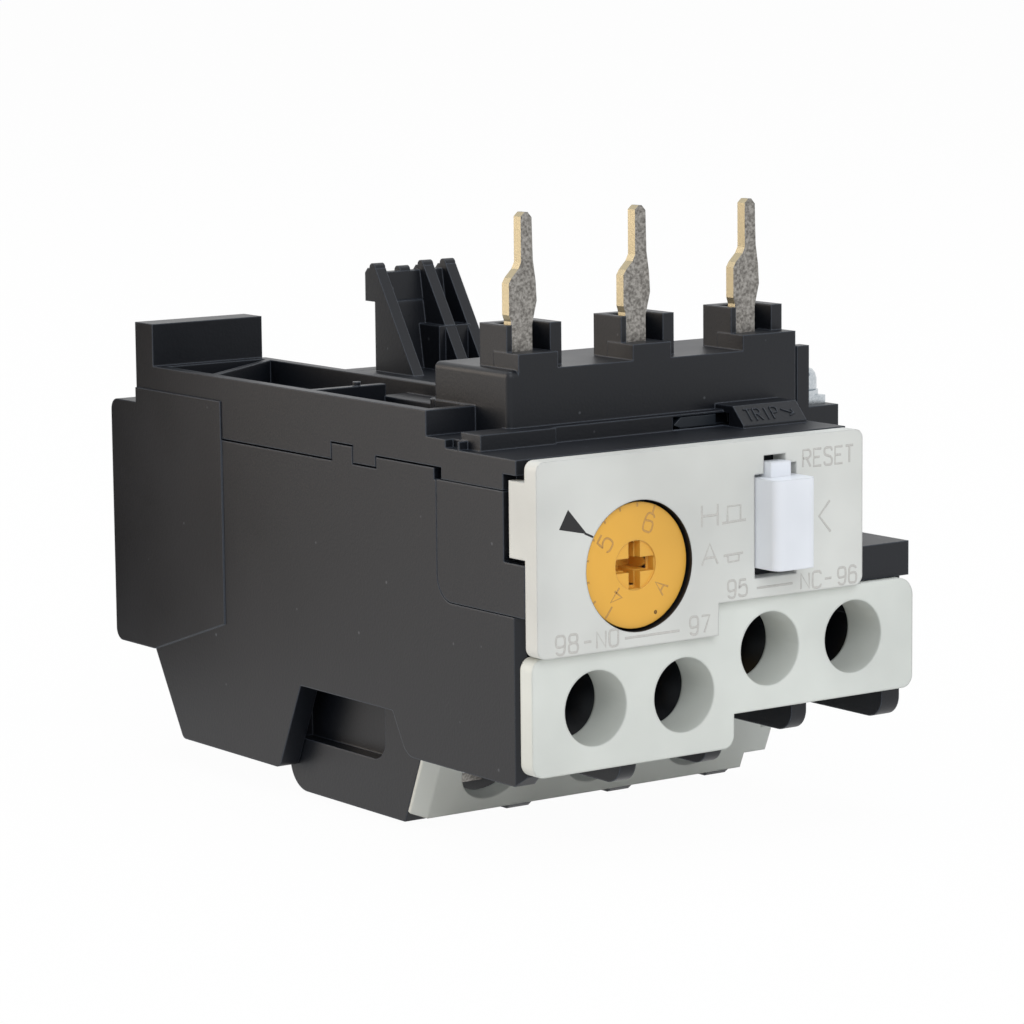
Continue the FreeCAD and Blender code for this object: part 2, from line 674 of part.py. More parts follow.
def open_pocket(piece):
    """Open pocket along the left side with its ribs, boss and rear upstand."""
    right = s.pocket_right + s.skin
    piece.pad("XY", rect(0, s.wall_front, right, s.upstand_front), s.deck, WALL_TOP)
    piece.pad("XY", rect(0, s.upstand_front, right - 0.4, s.upstand_back), s.deck, UPSTAND_TOP)
    front, back, middle = s.wall_front + s.skin, s.upstand_front - s.skin, s.block_left - 0.1
    floor = [
        (s.skin, front), (middle, front), (middle, s.block_back), (s.pocket_right, s.block_back),
        (s.pocket_right, back), (s.skin, back),
    ]
    piece.pocket("XY", floor, s.deck, WALL_TOP + 1)
    left, end = s.skin - 0.1, s.pocket_right + 0.1
    inner_wall = s.pocket_right - 3.1
    ribs = [
        rect(left, s.rib_y, inner_wall, s.rib_y + s.rib_thick),
        [(left, s.rib_back), (end, s.rib_back + s.rib_skew), (end, s.rib_back + s.rib_skew + s.rib_thick),
         (left, s.rib_back + s.rib_thick)],
    ]
    piece.pad("XY", ribs, s.deck, WALL_TOP)
    step = rect(inner_wall - 0.1, s.block_back - 0.1, end, s.rib_y + s.rib_thick)
    piece.pad("XY", step, s.deck, WALL_TOP - 1.2)
    piece.pad("XY", Disc(s.block_left + 2.4, s.block_back + 2.6, s.boss), s.deck, WALL_TOP - 0.3)
    bumps = [Disc(s.pocket_right / 2, s.rib_y + s.rib_thick / 2, s.rib_thick / 2 - 0.05)]
    piece.pad("XY", bumps, WALL_TOP - 0.1, WALL_TOP + 0.4)


def hollows(piece):
    """Room under the deck, and the holes of the coil terminal."""
    middle = s.wall_front - 0.1
    under_ledge = rect(INNER_LEFT, s.ledge_front + 1.4, UPPER_RIGHT - 1.4, middle)
    piece.pocket("XY", under_ledge, s.parting, LEDGE - 1.3)
    under_deck = rect(INNER_LEFT, middle, INNER_RIGHT, s.rear_step - s.skin)
    piece.pocket("XY", under_deck, s.parting, s.deck - 1.4)
    coil_hole = Disc(COIL_X, COIL_Y, s.coil_shank + s.running)
    leg = rect(COIL_X - 1.9, s.coil_back - s.strip - s.fit, COIL_X, s.coil_back + s.fit)
    piece.pocket("XY", [coil_hole, leg], s.parting - 1, s.deck + 1)


def hook(piece):
    """Ribbed tongue whose nose snaps behind the contactor."""
    back, deck = s.upstand_front, s.deck
    nose_low, top = deck + s.nose_rise, deck + s.hook_rise
    nose = [(back, deck), (back, nose_low), (back + s.nose_out, nose_low), (back + s.nose_out, top - 0.5)]
    gusset = [(back - s.hook_foot, deck)] + nose + [(back + 1.3, top), (back - 0.2, top)]
    web = [(back - s.hook_rib, deck)] + nose + [(back + 0.5, top - 0.5)]
    for start in (s.hook_left, s.hook_right - s.hook_rib * 3.2, s.hook_right - s.hook_rib):
        piece.pad("YZ", gusset, start, start + s.hook_rib)
        piece.pad("YZ", Disc(back + 0.4, top, s.hook_bump), start, start + s.hook_rib)
    piece.pad("YZ", web, s.hook_left + 1, s.hook_right - 1)
    lump = s.hook_left + s.hook_rib * 2.8
    piece.pad("YZ", Disc(back + 1.1, top - 0.5, s.hook_bump), lump, lump + s.hook_rib)
    foot = rect(back - 4.2, deck, back - 0.3, deck + 4.7)
    piece.pad("YZ", foot, s.hook_right - 5, s.hook_right - 1)


def contact_block():
    """Moulding behind the two covers: terminal chambers below, contact room above."""
    piece = Piece("contact_block")
    top, back = s.parting - s.fit, s.room_back + s.bridge_thick + 1
    slab_low = s.aux_left_z + s.aux_half
    panel_back = s.panel_depth - s.fit
    piece.pad("XZ", rect(INNER_LEFT, s.panel_z, UPPER_RIGHT, top), s.cover_y + LIP, back)
    piece.pad("XZ", rect(INNER_LEFT, slab_low, INNER_RIGHT, s.panel_z), LIP, back)
    piece.pad("XZ", rect(INNER_LEFT, s.aux_low + 1, INNER_RIGHT, slab_low), s.aux_back, panel_back)
    piece.pad("XZ", rect(0, s.panel_z + s.fit, INNER_LEFT, top), s.cover_y + LIP, panel_back)
    piece.round(2.3, "x", (panel_back, s.panel_z + s.fit))
    shelf_back = s.block_front - s.fit
    right = UPPER_RIGHT - 0.1
    piece.pad("XZ", rect(right, s.cover_high, s.width, SHELF_TOP), 0.6, shelf_back)
    piece.pad("XZ", rect(right, SHELF_TOP, s.width, top), shelf_back - 1.5, shelf_back)
    for index, low in enumerate((s.aux_low - 2.3, s.aux_low - 1.8, s.aux_high - 3.1)):
        middle = aux_x(index) + s.aux_pitch / 2
        piece.pad("XZ", rect(middle - 0.9, low, middle + 0.9, slab_low), LIP, panel_back)
        piece.round(2.0, "x", (LIP, low))
    high_chambers = [
        rect(aux_x(i) - s.aux_half, slab_low - 0.1, aux_x(i) + s.aux_half, s.aux_right_z + s.aux_half)
        for i in (2, 3)]
    piece.pocket("XZ", high_chambers, 0, s.aux_back)
    half = s.riser_half + 0.2
    slots = [
        rect(riser_x(i) - half, s.riser_y - s.fit * 4, riser_x(i) + half, s.riser_y + s.strip + s.fit)
        for i in range(4)]
    piece.pocket("XY", slots, slab_low - 0.5, s.room_floor + 0.1)
    room = rect(INNER_LEFT + 1.2, ROOM_FRONT, UPPER_RIGHT - 1.5, s.room_back)
    piece.pocket("XY", room, s.room_floor, s.parting)
    bearing = Disc(s.dial_x, s.dial_z, s.dial_shaft + s.running)
    guide = rect(
        s.reset_left - s.fit, s.reset_low - s.fit,
        s.reset_left + s.reset_wide + s.fit, s.reset_low + s.reset_tall + s.fit)
    piece.pocket("XZ", [bearing, guide], 0, ROOM_FRONT + 0.1)
    mark = rect(
        s.reset_left + 1.0, s.reset_low + s.reset_tall - 0.1, s.reset_left + 3.6, s.parting)
    piece.pocket("XZ", mark, 0, s.ledge_front + s.fit)
    low, high = s.contact_z - s.bridge_half - 0.3, s.contact_z + s.bridge_half + 0.3
    finger_way = rect(s.finger_left - s.bar_travel - 0.7, low, s.finger_left + 2.4, high)
    piece.pocket("XZ", finger_way, s.room_back - 0.1, back + 0.1)
    piece.pocket("YZ", rect(0, s.tab_low - 0.5, s.tab_back + 0.9, s.parting + 1), -BEYOND, 1.5)
    bracket = rect(s.lever_x - 2, back - 0.1, INNER_RIGHT, s.lever_y + 2)
    piece.pad("XY", bracket, s.post_low, s.post_low + 2)
    piece.pocket("XY", Disc(s.lever_x, s.lever_y, s.lever_pin), s.post_low - 1, s.post_low + 3)


ROOM_FRONT = s.cover_y + LIP + 3.0   # front of the contact room


def front_cover():
    """Light cover with the windows for dial and reset button."""
    piece = Piece("front_cover")
    right, top, low, high = s.cover_right, s.cover_top, s.cover_low, s.cover_high
    face = [(0, low), (s.cover_step, low), (s.cover_step, high), (right, high), (right, top), (0, top)]
    back = s.cover_y + s.plate
    piece.pad("XZ", face, s.cover_y, back)
    piece.round(0.9, "y", (0, low), (right, high), (right, top), (0, top))
    piece.pad("YZ", rect(s.cover_y + 0.5, s.tab_low, s.tab_back, s.tab_high), 0, 1.2)
    left, foot = s.reset_left, s.reset_low
    side, lid = left + s.reset_wide + s.fit, foot + s.reset_tall
    mark = lid + s.key_slot + 0.6
    window = [
        (left - s.fit, foot - 1.0), (side, foot - 1.0), (side, lid + 1.1), (left + 3.6, lid + 1.1),
        (left + 3.6, mark), (left + 1.0, mark), (left + 1.0, lid + 0.3), (left - s.fit, lid + 0.3),
    ]
    dial_hole = Disc(s.dial_x, s.dial_z, s.dial_radius + s.dial_gap)
    piece.pocket("XZ", [dial_hole, window], s.cover_y - 1, back + 1)


def aux_terminal_cover():
    """Light cover over the four auxiliary terminals, with a funnel for each screwdriver."""
    piece = Piece("aux_terminal_cover")
    low_top, high_top = s.cover_low - s.fit, s.cover_high - s.fit
    step = s.cover_step + s.fit
    face = [
        (0, s.aux_low), (s.aux_step, s.aux_low), (s.aux_step, s.aux_high), (s.width, s.aux_high),
        (s.width, high_top), (step, high_top), (step, low_top), (0, low_top),
    ]
    piece.pad("XZ", face, 0, s.plate)
    piece.round(1.2, "y", (0, s.aux_low), (s.aux_step, s.aux_low), (s.width, s.aux_high), (0, low_top))
    piece.round(1.8, "y", (s.width, high_top))
    tube = s.aux_bore + 0.6
    funnels = [around(aux_x(i), aux_z(i), tube, tube) for i in range(4)]
    piece.pad("XZ", funnels, s.plate, s.aux_tube)
    bores = [Disc(aux_x(i), aux_z(i), s.aux_bore) for i in range(4)]
    piece.pocket("XZ", bores, -BEYOND, s.aux_tube + 1)


def main_terminal_cover():
    """Slanted light plate over the three main terminals."""
    piece = Piece("main_terminal_cover", leaning=True)
    lug = s.width - s.wall - 1.3
    face = [
        (INNER_LEFT, 0), (lug, 0), (lug, 1.7), (s.width - 0.8, 1.7), (s.width - 0.8, s.lug_length),
        (INNER_RIGHT, s.lug_length), (INNER_RIGHT, s.main_length), (INNER_LEFT, s.main_length),
    ]
    piece.pad("XZ", face, 0, s.main_plate)
    piece.bevel(1.2, "z", (INNER_LEFT, 0))
    holes = [Disc(main_x(pole), s.main_axis, s.main_bore) for pole in range(POLES)]
    piece.pocket("XZ", holes, -BEYOND, s.main_plate + 1)


def slant(z, behind):
    """Depth at height z of the slanted plane that lies behind the face of the cover."""
    return s.main_y - (dim(z) - s.main_z) * LEAN_TAN + dim(behind) / LEAN_COS


def terminal_block():
    """Moulding that carries the main terminals and the thermal system."""
    piece = Piece("terminal_block")
    shelf_low, top, end = s.base_top - s.base_shelf, s.base_top, s.base_end
    seat, foot = s.main_plate + s.fit, s.leg_z + s.wall
    side = [
        (slant(s.base_low, seat), s.base_low), (s.base_back, s.base_low), (s.base_back, shelf_low),
        (end - 4, shelf_low), (end - 4, foot), (end - 0.5, foot), (end - 0.5, shelf_low),
        (end, shelf_low), (end, top), (slant(top, seat), top),
    ]
    piece.pad("YZ", side, INNER_LEFT, INNER_RIGHT)
    piece.round(3.0, "x", (s.base_back, s.base_low))
    half, roof = s.chamber_half, top - s.skin
    chambers = [rect(main_x(pole) - half, -BEYOND, main_x(pole) + half, roof) for pole in range(POLES)]
    piece.pocket("XZ", chambers, 14, s.chamber_back)
    half, far = s.main_half + 0.2, s.main_behind + s.load_strip + 0.3
    passages = [
        rect(main_x(pole) - half, slant(top, s.main_behind - 0.3), main_x(pole) + half, slant(roof, far))
        for pole in range(POLES)
    ]
    piece.pocket("XY", passages, roof - s.fit, top + 1)
    front, back, root = slant(0, seat + 0.2), s.window_front - 0.2, s.base_low + 0.1
    nose = [(front, root), (front, 0.4), (front + 0.5, 0), (back - 0.5, 0), (back, 0.4), (back, root)]
    for pole in range(POLES):
        middle = main_x(pole) + s.main_pitch / 2
        piece.pad("YZ", nose, middle - 1.3, middle + 1.3)
    window = rect(s.window_front, s.window_low, s.window_back, roof - 0.2)
    piece.pocket("YZ", window, INNER_LEFT - 1, INNER_LEFT + s.window_deep)
    piece.round(2.0, "x", (s.window_front, s.window_low))
    wall = rect(INNER_LEFT + 1.7, top, INNER_RIGHT - 1.7, s.feed_z - 3.2)
    piece.pad("XZ", wall, s.root_y + s.load_strip + s.fit, end)


# ---------------------------------------------------------------- controls

def adjusting_dial():
    """Setting dial with its shaft and eccentric cam in one moulding."""
    piece = Piece("adjusting_dial")
    x, z, arm, half = s.dial_x, s.dial_z, s.cross_arm, s.cross_half
    disc_back, cam_front = s.cover_y + s.plate, ROOM_FRONT + 0.6
    piece.pad("XZ", Disc(x, z, s.dial_radius), s.cover_y + s.dial_sink, disc_back)
    piece.pad("XZ", Disc(x, z, s.dial_shaft), disc_back, cam_front)
    piece.pad("XZ", Disc(x + s.cam_throw, z, s.cam_radius), cam_front, cam_front + s.cam_thick)
    piece.pocket("XZ", Disc(x, z, s.dial_recess), s.cover_y, s.cover_y + s.dial_sink + 0.2)
    cross = [
        (x - half, z - arm), (x + half, z - arm), (x + half, z - half), (x + arm, z - half),
        (x + arm, z + half), (x + half, z + half), (x + half, z + arm), (x - half, z + arm),
        (x - half, z + half), (x - arm, z + half), (x - arm, z - half), (x - half, z - half),
    ]
    piece.pocket("XZ", cross, s.cover_y, s.cover_y + s.cross_deep)


SPRING_X, SPRING_Z = s.reset_left + s.reset_wide / 2, s.reset_low + s.reset_tall - 2.45
BUTTON_BACK = ROOM_FRONT + 0.4       # back of the button's shank


def reset_button():
    """White push button; its foot behind the wall keeps it in and resets the contacts."""
    piece = Piece("reset_button")
    left, low = s.reset_left, s.reset_low
    right, top = left + s.reset_wide, low + s.reset_tall
    front = s.cover_y - s.reset_proud
    piece.pad("XZ", rect(left, low, right, top), front, BUTTON_BACK)
    foot = rect(left - 4.95, low + 0.3, right + 0.8, low + s.reset_foot)
    piece.pad("XZ", foot, BUTTON_BACK - 0.1, BUTTON_BACK - 0.1 + s.reset_stop)
    key = rect(left + 1.1, top, left + 3.5, top + s.key_slot)
    piece.pad("XZ", key, s.cover_y - 0.9, s.ledge_front - s.reset_travel - s.fit)
    piece.pad("XZ", Disc(SPRING_X, SPRING_Z, 0.9), BUTTON_BACK, BUTTON_BACK + 2.5)
    piece.round(0.9, "z", (left, front), (right, front))


SLIDER_LEFT = s.step_left + 14.3     # tip of the test slider


def test_lever():
    """Slider on the front step that trips the relay by hand."""
    piece = Piece("test_lever")
    x, z = SLIDER_LEFT, LEDGE + 0.2
    front, back = s.step_front + 0.8, s.step_front + 1.8
    arrow = [(x, z + 0.3), (x + 0.8, z), (x + 5.0, z), (x + 5.0, z + 1.0), (x + 0.8, z + 1.0)]
    piece.pad("XZ", arrow, front, back)
    piece.pad("XZ", rect(x + 0.8, s.parting + s.fit, x + 2.0, z + 0.1), front + 0.2, back)


def spring(label, radius, wire, turns, start, end):
    """Compression spring along y: six-sided wire in short straight lengths."""
    sides, steps = 6, 10
    x, y, z = (length.number + shift.number for length, shift in zip(start, DATUM))
    length = end.number - start[1].number - 2 * wire
    points = []
    for step in range(turns * steps + 1):
        angle = 2 * math.pi * step / steps
        along = wire + length * step / (turns * steps)
        points.append(FreeCAD.Vector(x + radius * math.cos(angle), y + along, z + radius * math.sin(angle)))
    path = Part.makePolygon(points)
    ring = [2 * math.pi * side / sides for side in range(sides)]
    corners = [points[0] + FreeCAD.Vector(wire * math.cos(a), wire * math.sin(a), 0) for a in ring]
    section = Part.makePolygon(corners + corners[:1])
    feature = doc.addObject("Part::Feature", label)
    feature.Shape = Part.Wire(path).makePipeShell([section], True, False, 1)
    keep(feature, label)


# ---------------------------------------------------------------- current path

def blade(pole):
    """Plug-in blade, waisted below its tongue, with a foot inside the housing."""
    piece = Piece(f"blade_{pole + 1}")
    x, half, foot, top = pole_x(pole), s.blade_width / 2, s.blade_foot, BLADE_TOP
    face = [
        (x - half, foot), (x + half, foot), (x + half, top - 10.4), (x + 1.75, top - 8.2),
        (x + 1.65, top - 6.4), (x + 1.35, top - 4.4), (x + 1.25, top - 0.5), (x + 0.8, top),
        (x + 0.45, top), (x, top - 0.4), (x, top - 4.6), (x - 0.3, top - 5.2),
        (x - 1.1, top - 6.0), (x - 1.4, top - 6.5), (x - 1.4, top - 9.4), (x - half, top - 10.0),
    ]
    piece.pad("XZ", face, s.blade_y, s.blade_y + s.blade_thick)
    piece.pad("XY", rect(x - half, s.blade_y, x + half, FEED_FRONT), foot, foot + s.blade_thick)


FEED_FRONT = s.blade_y + 7.9         # where the feed strips turn down, and the blades' feet end


def feed_strip(pole):
    """Bent strip from the foot of a blade back to the rear end of its heater."""
    piece = Piece(f"feed_strip_{pole + 1}")
    x, t, foot, run = pole_x(pole), s.strip, s.blade_foot, s.feed_z
    front, turn, back, end = FEED_FRONT - 4, FEED_FRONT, s.feed_back, SLEEVE_TOP + s.fit * 9
    bends = [
        (front, foot - t), (turn - t, foot - t), (turn - t, run), (back - t, run), (back - t, end),
        (back, end), (back, run + t), (turn, run + t), (turn, foot), (front, foot),
    ]
    piece.pad("YZ", bends, x - s.feed_half, x + s.feed_half)


def bimetal(pole):
    x = pole_x(pole)
    low = (x - s.strip / 2, s.tip_y, s.bimetal_z)
    high = (x + s.strip / 2, s.root_y - s.running, s.bimetal_z + s.bimetal_tall)
    keep(block(f"bimetal_{pole + 1}", low, high), f"bimetal_{pole + 1}")


SLEEVE_HALF = s.strip / 2 + s.snug   # half the width of the hole in a sleeve
SLEEVE_TALL = s.bimetal_tall / 2 + s.snug
SLEEVE_Z = s.bimetal_z + s.bimetal_tall / 2
SLEEVE_TOP = SLEEVE_Z + SLEEVE_TALL + s.sleeve_wall


def sleeve(pole):
    """Insulating sleeve between the bimetal and its winding."""
    piece = Piece(f"heater_sleeve_{pole + 1}")
    x, wall = pole_x(pole), s.sleeve_wall
    outer = around(x, SLEEVE_Z, SLEEVE_HALF + wall, SLEEVE_TALL + wall)
    inner = around(x, SLEEVE_Z, SLEEVE_HALF, SLEEVE_TALL)
    piece.pad("XZ", [outer, inner], s.winding_front - 1.5, s.feed_back)


def heater(pole):
    """Flat ribbon wound round the sleeve: each turn steps back by one pitch on top."""
    x, y, z = (a.number + b.number for a, b in zip((pole_x(pole), s.winding_front, SLEEVE_Z), DATUM))
    around_sleeve = s.sleeve_wall + s.snug
    half, tall = (SLEEVE_HALF + around_sleeve).number, (SLEEVE_TALL + around_sleeve).number
    thick, wide, pitch = s.winding_thick.number, s.winding_wide.number, s.winding_pitch.number
    turns = int((s.winding_back - s.winding_front).number / pitch)
    left, right, low = x - half - thick, x + half, z - tall - thick
    shapes = []
    for turn in range(turns):
        at = y + turn * pitch
        for side in (left, right):
            shapes.append(Part.makeBox(thick, wide, 2 * (tall + thick), FreeCAD.Vector(side, at, low)))
        shapes.append(Part.makeBox(2 * half, wide, thick, FreeCAD.Vector(x - half, at, low)))
        if turn < turns - 1:
            end = right + thick
            step = [(left, at), (left, at + wide), (end, at + wide + pitch), (end, at + pitch)]
            corners = [FreeCAD.Vector(u, v, z + tall) for u, v in step]
            across = Part.Face(Part.makePolygon(corners + corners[:1]))
            shapes.append(across.extrude(FreeCAD.Vector(0, 0, thick)))
    feature = doc.addObject("Part::Feature", f"heater_{pole + 1}")
    feature.Shape = shapes[0].fuse(shapes[1:]).removeSplitter()
    keep(feature, f"heater_{pole + 1}")


def lean_rod(name, x, y, z, radius, length):
    """A round bar square to the slanted cover; y counts from its face, z along it."""
    solid = doc.addObject("Part::Cylinder", name)
    lean = FreeCAD.Rotation(FreeCAD.Vector(1, 0, 0), MAIN_TILT)
    solid.Placement = FreeCAD.Placement(FreeCAD.Vector(), lean * AXIS_TURN["y"])
    bind(solid, "Radius", radius)
    bind(solid, "Height", length)
    y, z = dim(y), dim(z)
    start = (x, s.main_y + y * LEAN_COS - z * LEAN_SIN, s.main_z + y * LEAN_SIN + z * LEAN_COS)
    return put(solid, start)


def load_terminal(pole):
    """Strip from the fixed end of a bimetal forward to the slanted terminal plate."""
    piece = Piece(f"load_strip_{pole + 1}")
    x, near, far = main_x(pole), s.main_behind, s.main_behind + s.load_strip
    low, run = s.main_low, s.base_top + s.running
    over, joint = run + s.load_strip, slant(run, far) + 8
    plate = [
        (slant(low, near), low), (slant(low, far), low), (slant(run, far), run), (joint, run),
        (joint, over), (slant(over, near), over),
    ]
    piece.pad("YZ", plate, x - s.main_half, x + s.main_half)
    root, top = s.root_y, s.bimetal_z + s.bimetal_tall
    back = [(joint - 1, run), (root + s.load_strip, run), (root + s.load_strip, top), (root, top),
            (root, over), (joint - 1, over)]
    piece.pad("YZ", back, pole_x(pole) - s.root_half, pole_x(pole) + s.root_half)
    hole = lean_rod(f"main_hole_{pole + 1}", x, near - BEYOND, s.main_axis, s.main_shank + s.running, 3 * BEYOND)
    label = f"load_terminal_{pole + 1}"
    parts.pop(f"load_strip_{pole + 1}")
    keep(cut(label, piece.body, hole), label)


def main_screws():
    """Three terminal screws with their washers, square to the slanted cover."""
    screws, washers = [], []
    washer_at = s.main_behind - s.running - s.main_washer_thick
    head_at = washer_at - s.running - s.main_head_tall
    for pole in range(POLES):
        x, z = main_x(pole), s.main_axis
        head = lean_rod(f"main_head_{pole + 1}", x, head_at, z, s.main_head, s.main_head_tall)
        shank_at = head_at + s.main_head_tall - 0.1
        shank = lean_rod(f"main_shank_{pole + 1}", x, shank_at, z, s.main_shank, s.main_shank_long)
        screws.append(fuse(f"main_screw_{pole + 1}", head, shank))
        disc = lean_rod(f"main_disc_{pole + 1}", x, washer_at, z, s.main_washer, s.main_washer_thick)
        bore = lean_rod(
            f"main_disc_bore_{pole + 1}", x, washer_at - BEYOND, z, s.main_shank + s.running, 3 * BEYOND)
        washers.append(cut(f"main_washer_{pole + 1}", disc, bore))
    keep(group("main_screw_set", *screws), "main_terminal_screws")
    keep(group("main_washer_set", *washers), "main_clamp_washers")


# ---------------------------------------------------------------- trip train

def slide_bar(label, front, slack_left, slack_right):
    """Bar across the three bimetals with a window for each."""
    piece = Piece(label)
    low, body_low = s.base_top + s.fit, s.bar_low
    left, right, top = s.bar_left, s.bar_right, s.bar_top
    outline = [(right, body_low), (right, top), (left, top), (left, body_low)]
    gap = s.main_half + s.fit * 4
    for pole in range(POLES - 1):
        start, end = main_x(pole) + gap, main_x(pole + 1) - gap - s.bar_travel
        outline += [(start, body_low), (start, low), (end, low), (end, body_low)]
    half = s.strip / 2
    windows = [
        rect(pole_x(pole) - half - slack_left, s.bimetal_z - 0.8,
             pole_x(pole) + half + slack_right, s.bimetal_z + s.bimetal_tall + 0.8)
        for pole in range(POLES)
    ]
    piece.pad("XZ", [outline] + windows, front, front + s.bar_thick)
    return piece


def slide_bars():
    """Push bar ahead of the strips' way, pull bar behind it with the pivot of the lever."""
    slide_bar("push_bar", s.bar_y, s.bar_travel, s.running)
    front = s.bar_y + s.bar_space
    pull_bar = slide_bar("pull_bar", front, s.bar_travel / 6, s.bar_travel)
    pivot = Disc(s.tilt_x, s.tilt_z, s.tilt_pin + s.running)
    pull_bar.pocket("XZ", pivot, front - 1, front + s.bar_thick + 1)


def differential_lever():
    """Lever between the two bars; it tilts when one bimetal lags behind."""
    back = s.bar_y + s.bar_space + s.bar_thick
    x, low = s.tilt_x, s.tilt_z - s.tilt_long / 2
    high = low + s.tilt_long
    plate = block("differential_plate", (x - 0.8, back + s.fit, low), (x + 0.8, back + 1.0, high))
    start = (s.tilt_x, back - s.bar_thick - 0.2, s.tilt_z)
    pivot = rod("differential_pivot", "y", start, s.tilt_pin, s.bar_thick + 0.3)
    keep(fuse("differential_lever", plate, pivot), "differential_lever")


def release_lever():
    """Crank: the push bar turns it, its finger then leaves the catch of the contact carrier."""
    x, y, left = s.lever_x, s.lever_y, s.finger_left
    low, high = s.contact_z - s.bridge_half, s.contact_z + s.bridge_half
    touch = s.bar_right + s.fit
    hub = rod("release_hub", "z", (x, y, low), s.lever_hub, s.bridge_half * 2)
    short_arm = block("release_short_arm", (touch, y, low), (touch + 1.2, s.bar_y + 1.2, high))
    long_arm = block("release_long_arm", (left, y - 0.9, low), (x, y + 0.3, high))
    finger = block("release_finger", (left, s.riser_y + 1.3, low), (left + s.finger_wide, y, high))
    bore = rod("release_bore", "z", (x, y, low - 1), s.lever_pin + s.running, 4)
    solid = fuse("release_solid", hub, short_arm, long_arm, finger)
    keep(cut("release_lever", solid, bore), "release_lever")
    keep(rod("release_shaft", "z", (x, y, s.post_low), s.lever_pin, s.post_tall), "release_pin")


def contact_carrier():
    """Slider that holds both contact bridges; the release lever holds its catch."""
    front, back = s.carrier_front, CARRIER_BACK
    low, high = s.room_floor + s.fit, s.contact_z + s.bridge_half + 0.1
    middle = s.contact_z - s.bridge_half - 0.3
    left, right = riser_x(0) - s.riser_half - 0.2, riser_x(3) + s.riser_half - 0.15
    bar = block("carrier_bar", (left, front, low), (right, back, middle))
    arm = block("carrier_arm", (left + 5, back, low), (left + 8.4, OPEN_REAR, high))
    post = block("carrier_post", (riser_x(3) - 4.85, front, middle - 0.1), (riser_x(3) - 2.65, back, high))
    catch_right = s.finger_left + s.finger_wide + s.fit + s.catch_wide
    rail_right = catch_right - 4
    catch_left, ahead, behind, flat = catch_right - s.catch_wide, OPEN_REAR - 0.2, OPEN_REAR + 0.5, middle - 0.2
    rail = block("carrier_rail", (rail_right - 3.2, back, low), (rail_right, behind, flat))
    beam = block("carrier_beam", (rail_right - 3.2, ahead, low), (catch_right, behind, flat))
    catch = block("carrier_catch", (catch_left, ahead, low), (catch_right, behind, high - 0.1))
    keep(fuse("contact_carrier", bar, arm, post, rail, beam, catch), "contact_carrier")


CARRIER_BACK = s.riser_y - 1.1       # back of the carrier's bar and front of the closed bridge
OPEN_REAR = s.riser_y + s.open_gap   # front of the open bridge


def bridge(label, first, last, front, tip_front):
    """Moving contact strip with a silver tip at each end."""
    half, tip, z = s.bridge_half, s.tip_half, s.contact_z
    ends = riser_x(first), riser_x(last)
    low, high = (ends[0] - 1.1, front, z - half), (ends[1] + 1.1, front + s.bridge_thick, z + half)
    pieces = [block(f"{label}_strip", low, high)]
    for name, x in zip(("left", "right"), ends):
        low = (x - tip, tip_front, z - tip)
        pieces.append(block(f"{label}_{name}", low, (x + tip, tip_front + s.tip_thick, z + tip)))
    keep(fuse(label, *pieces), label)


def contact_bridges():
    """Closed bridge in front of strips 95 and 96, open bridge behind strips 97 and 98."""
    bridge("nc_bridge", 2, 3, CARRIER_BACK, CARRIER_BACK + s.bridge_thick)
    bridge("no_bridge", 0, 1, OPEN_REAR, OPEN_REAR - s.tip_thick)


def fixed_contact(index):
    """Terminal plate in its chamber and the contact strip that rises from it."""
    piece = Piece(f"terminal_{AUX_TERMINALS[index]}")
    x, up, half = aux_x(index), riser_x(index), s.riser_half
    low, top = s.aux_low + 2.6, aux_z(index) + s.aux_plate
    face = [
        (x - s.aux_plate, low), (x + s.aux_plate, low), (x + s.aux_plate, top), (up + half, top),
        (up + half, s.riser_top), (up - half, s.riser_top), (up - half, top), (x - s.aux_plate, top),
    ]
    y = s.riser_y
    piece.pad("XZ", [face, Disc(x, aux_z(index), s.aux_shank + s.running)], y, y + s.strip)
    tip = around(up, s.contact_z, s.tip_half, s.tip_half)
    front = y + s.strip if index < 2 else y - s.tip_thick + 0.03
    piece.pad("XZ", tip, front, front + s.tip_thick)


def aux_screws():
    """Four terminal screws and the plates that clamp the wires."""
    screws, clamps = [], []
    clamp_at = s.riser_y - s.running - s.aux_clamp_thick
    head_at = clamp_at - s.running - s.aux_head_tall
    for index in range(4):
        x, z = aux_x(index), aux_z(index)
        head = rod(f"aux_head_{index}", "y", (x, head_at, z), s.aux_head, s.aux_head_tall)
        shank_at = head_at + s.aux_head_tall - 0.1
        shank = rod(f"aux_shank_{index}", "y", (x, shank_at, z), s.aux_shank, 3.2)
        screws.append(fuse(f"aux_screw_{index}", head, shank))
        half, clamp_back = s.aux_clamp, clamp_at + s.aux_clamp_thick
        plate = block(f"aux_plate_{index}", (x - half, clamp_at, z - half), (x + half, clamp_back, z + half))
        bore = rod(f"aux_plate_bore_{index}", "y", (x, clamp_at - 1, z), s.aux_shank + s.running, 3 * BEYOND)
        clamps.append(cut(f"aux_clamp_{index}", plate, bore))
    keep(group("aux_screw_set", *screws), "aux_terminal_screws")
    keep(group("aux_clamp_set", *clamps), "aux_clamp_washers")


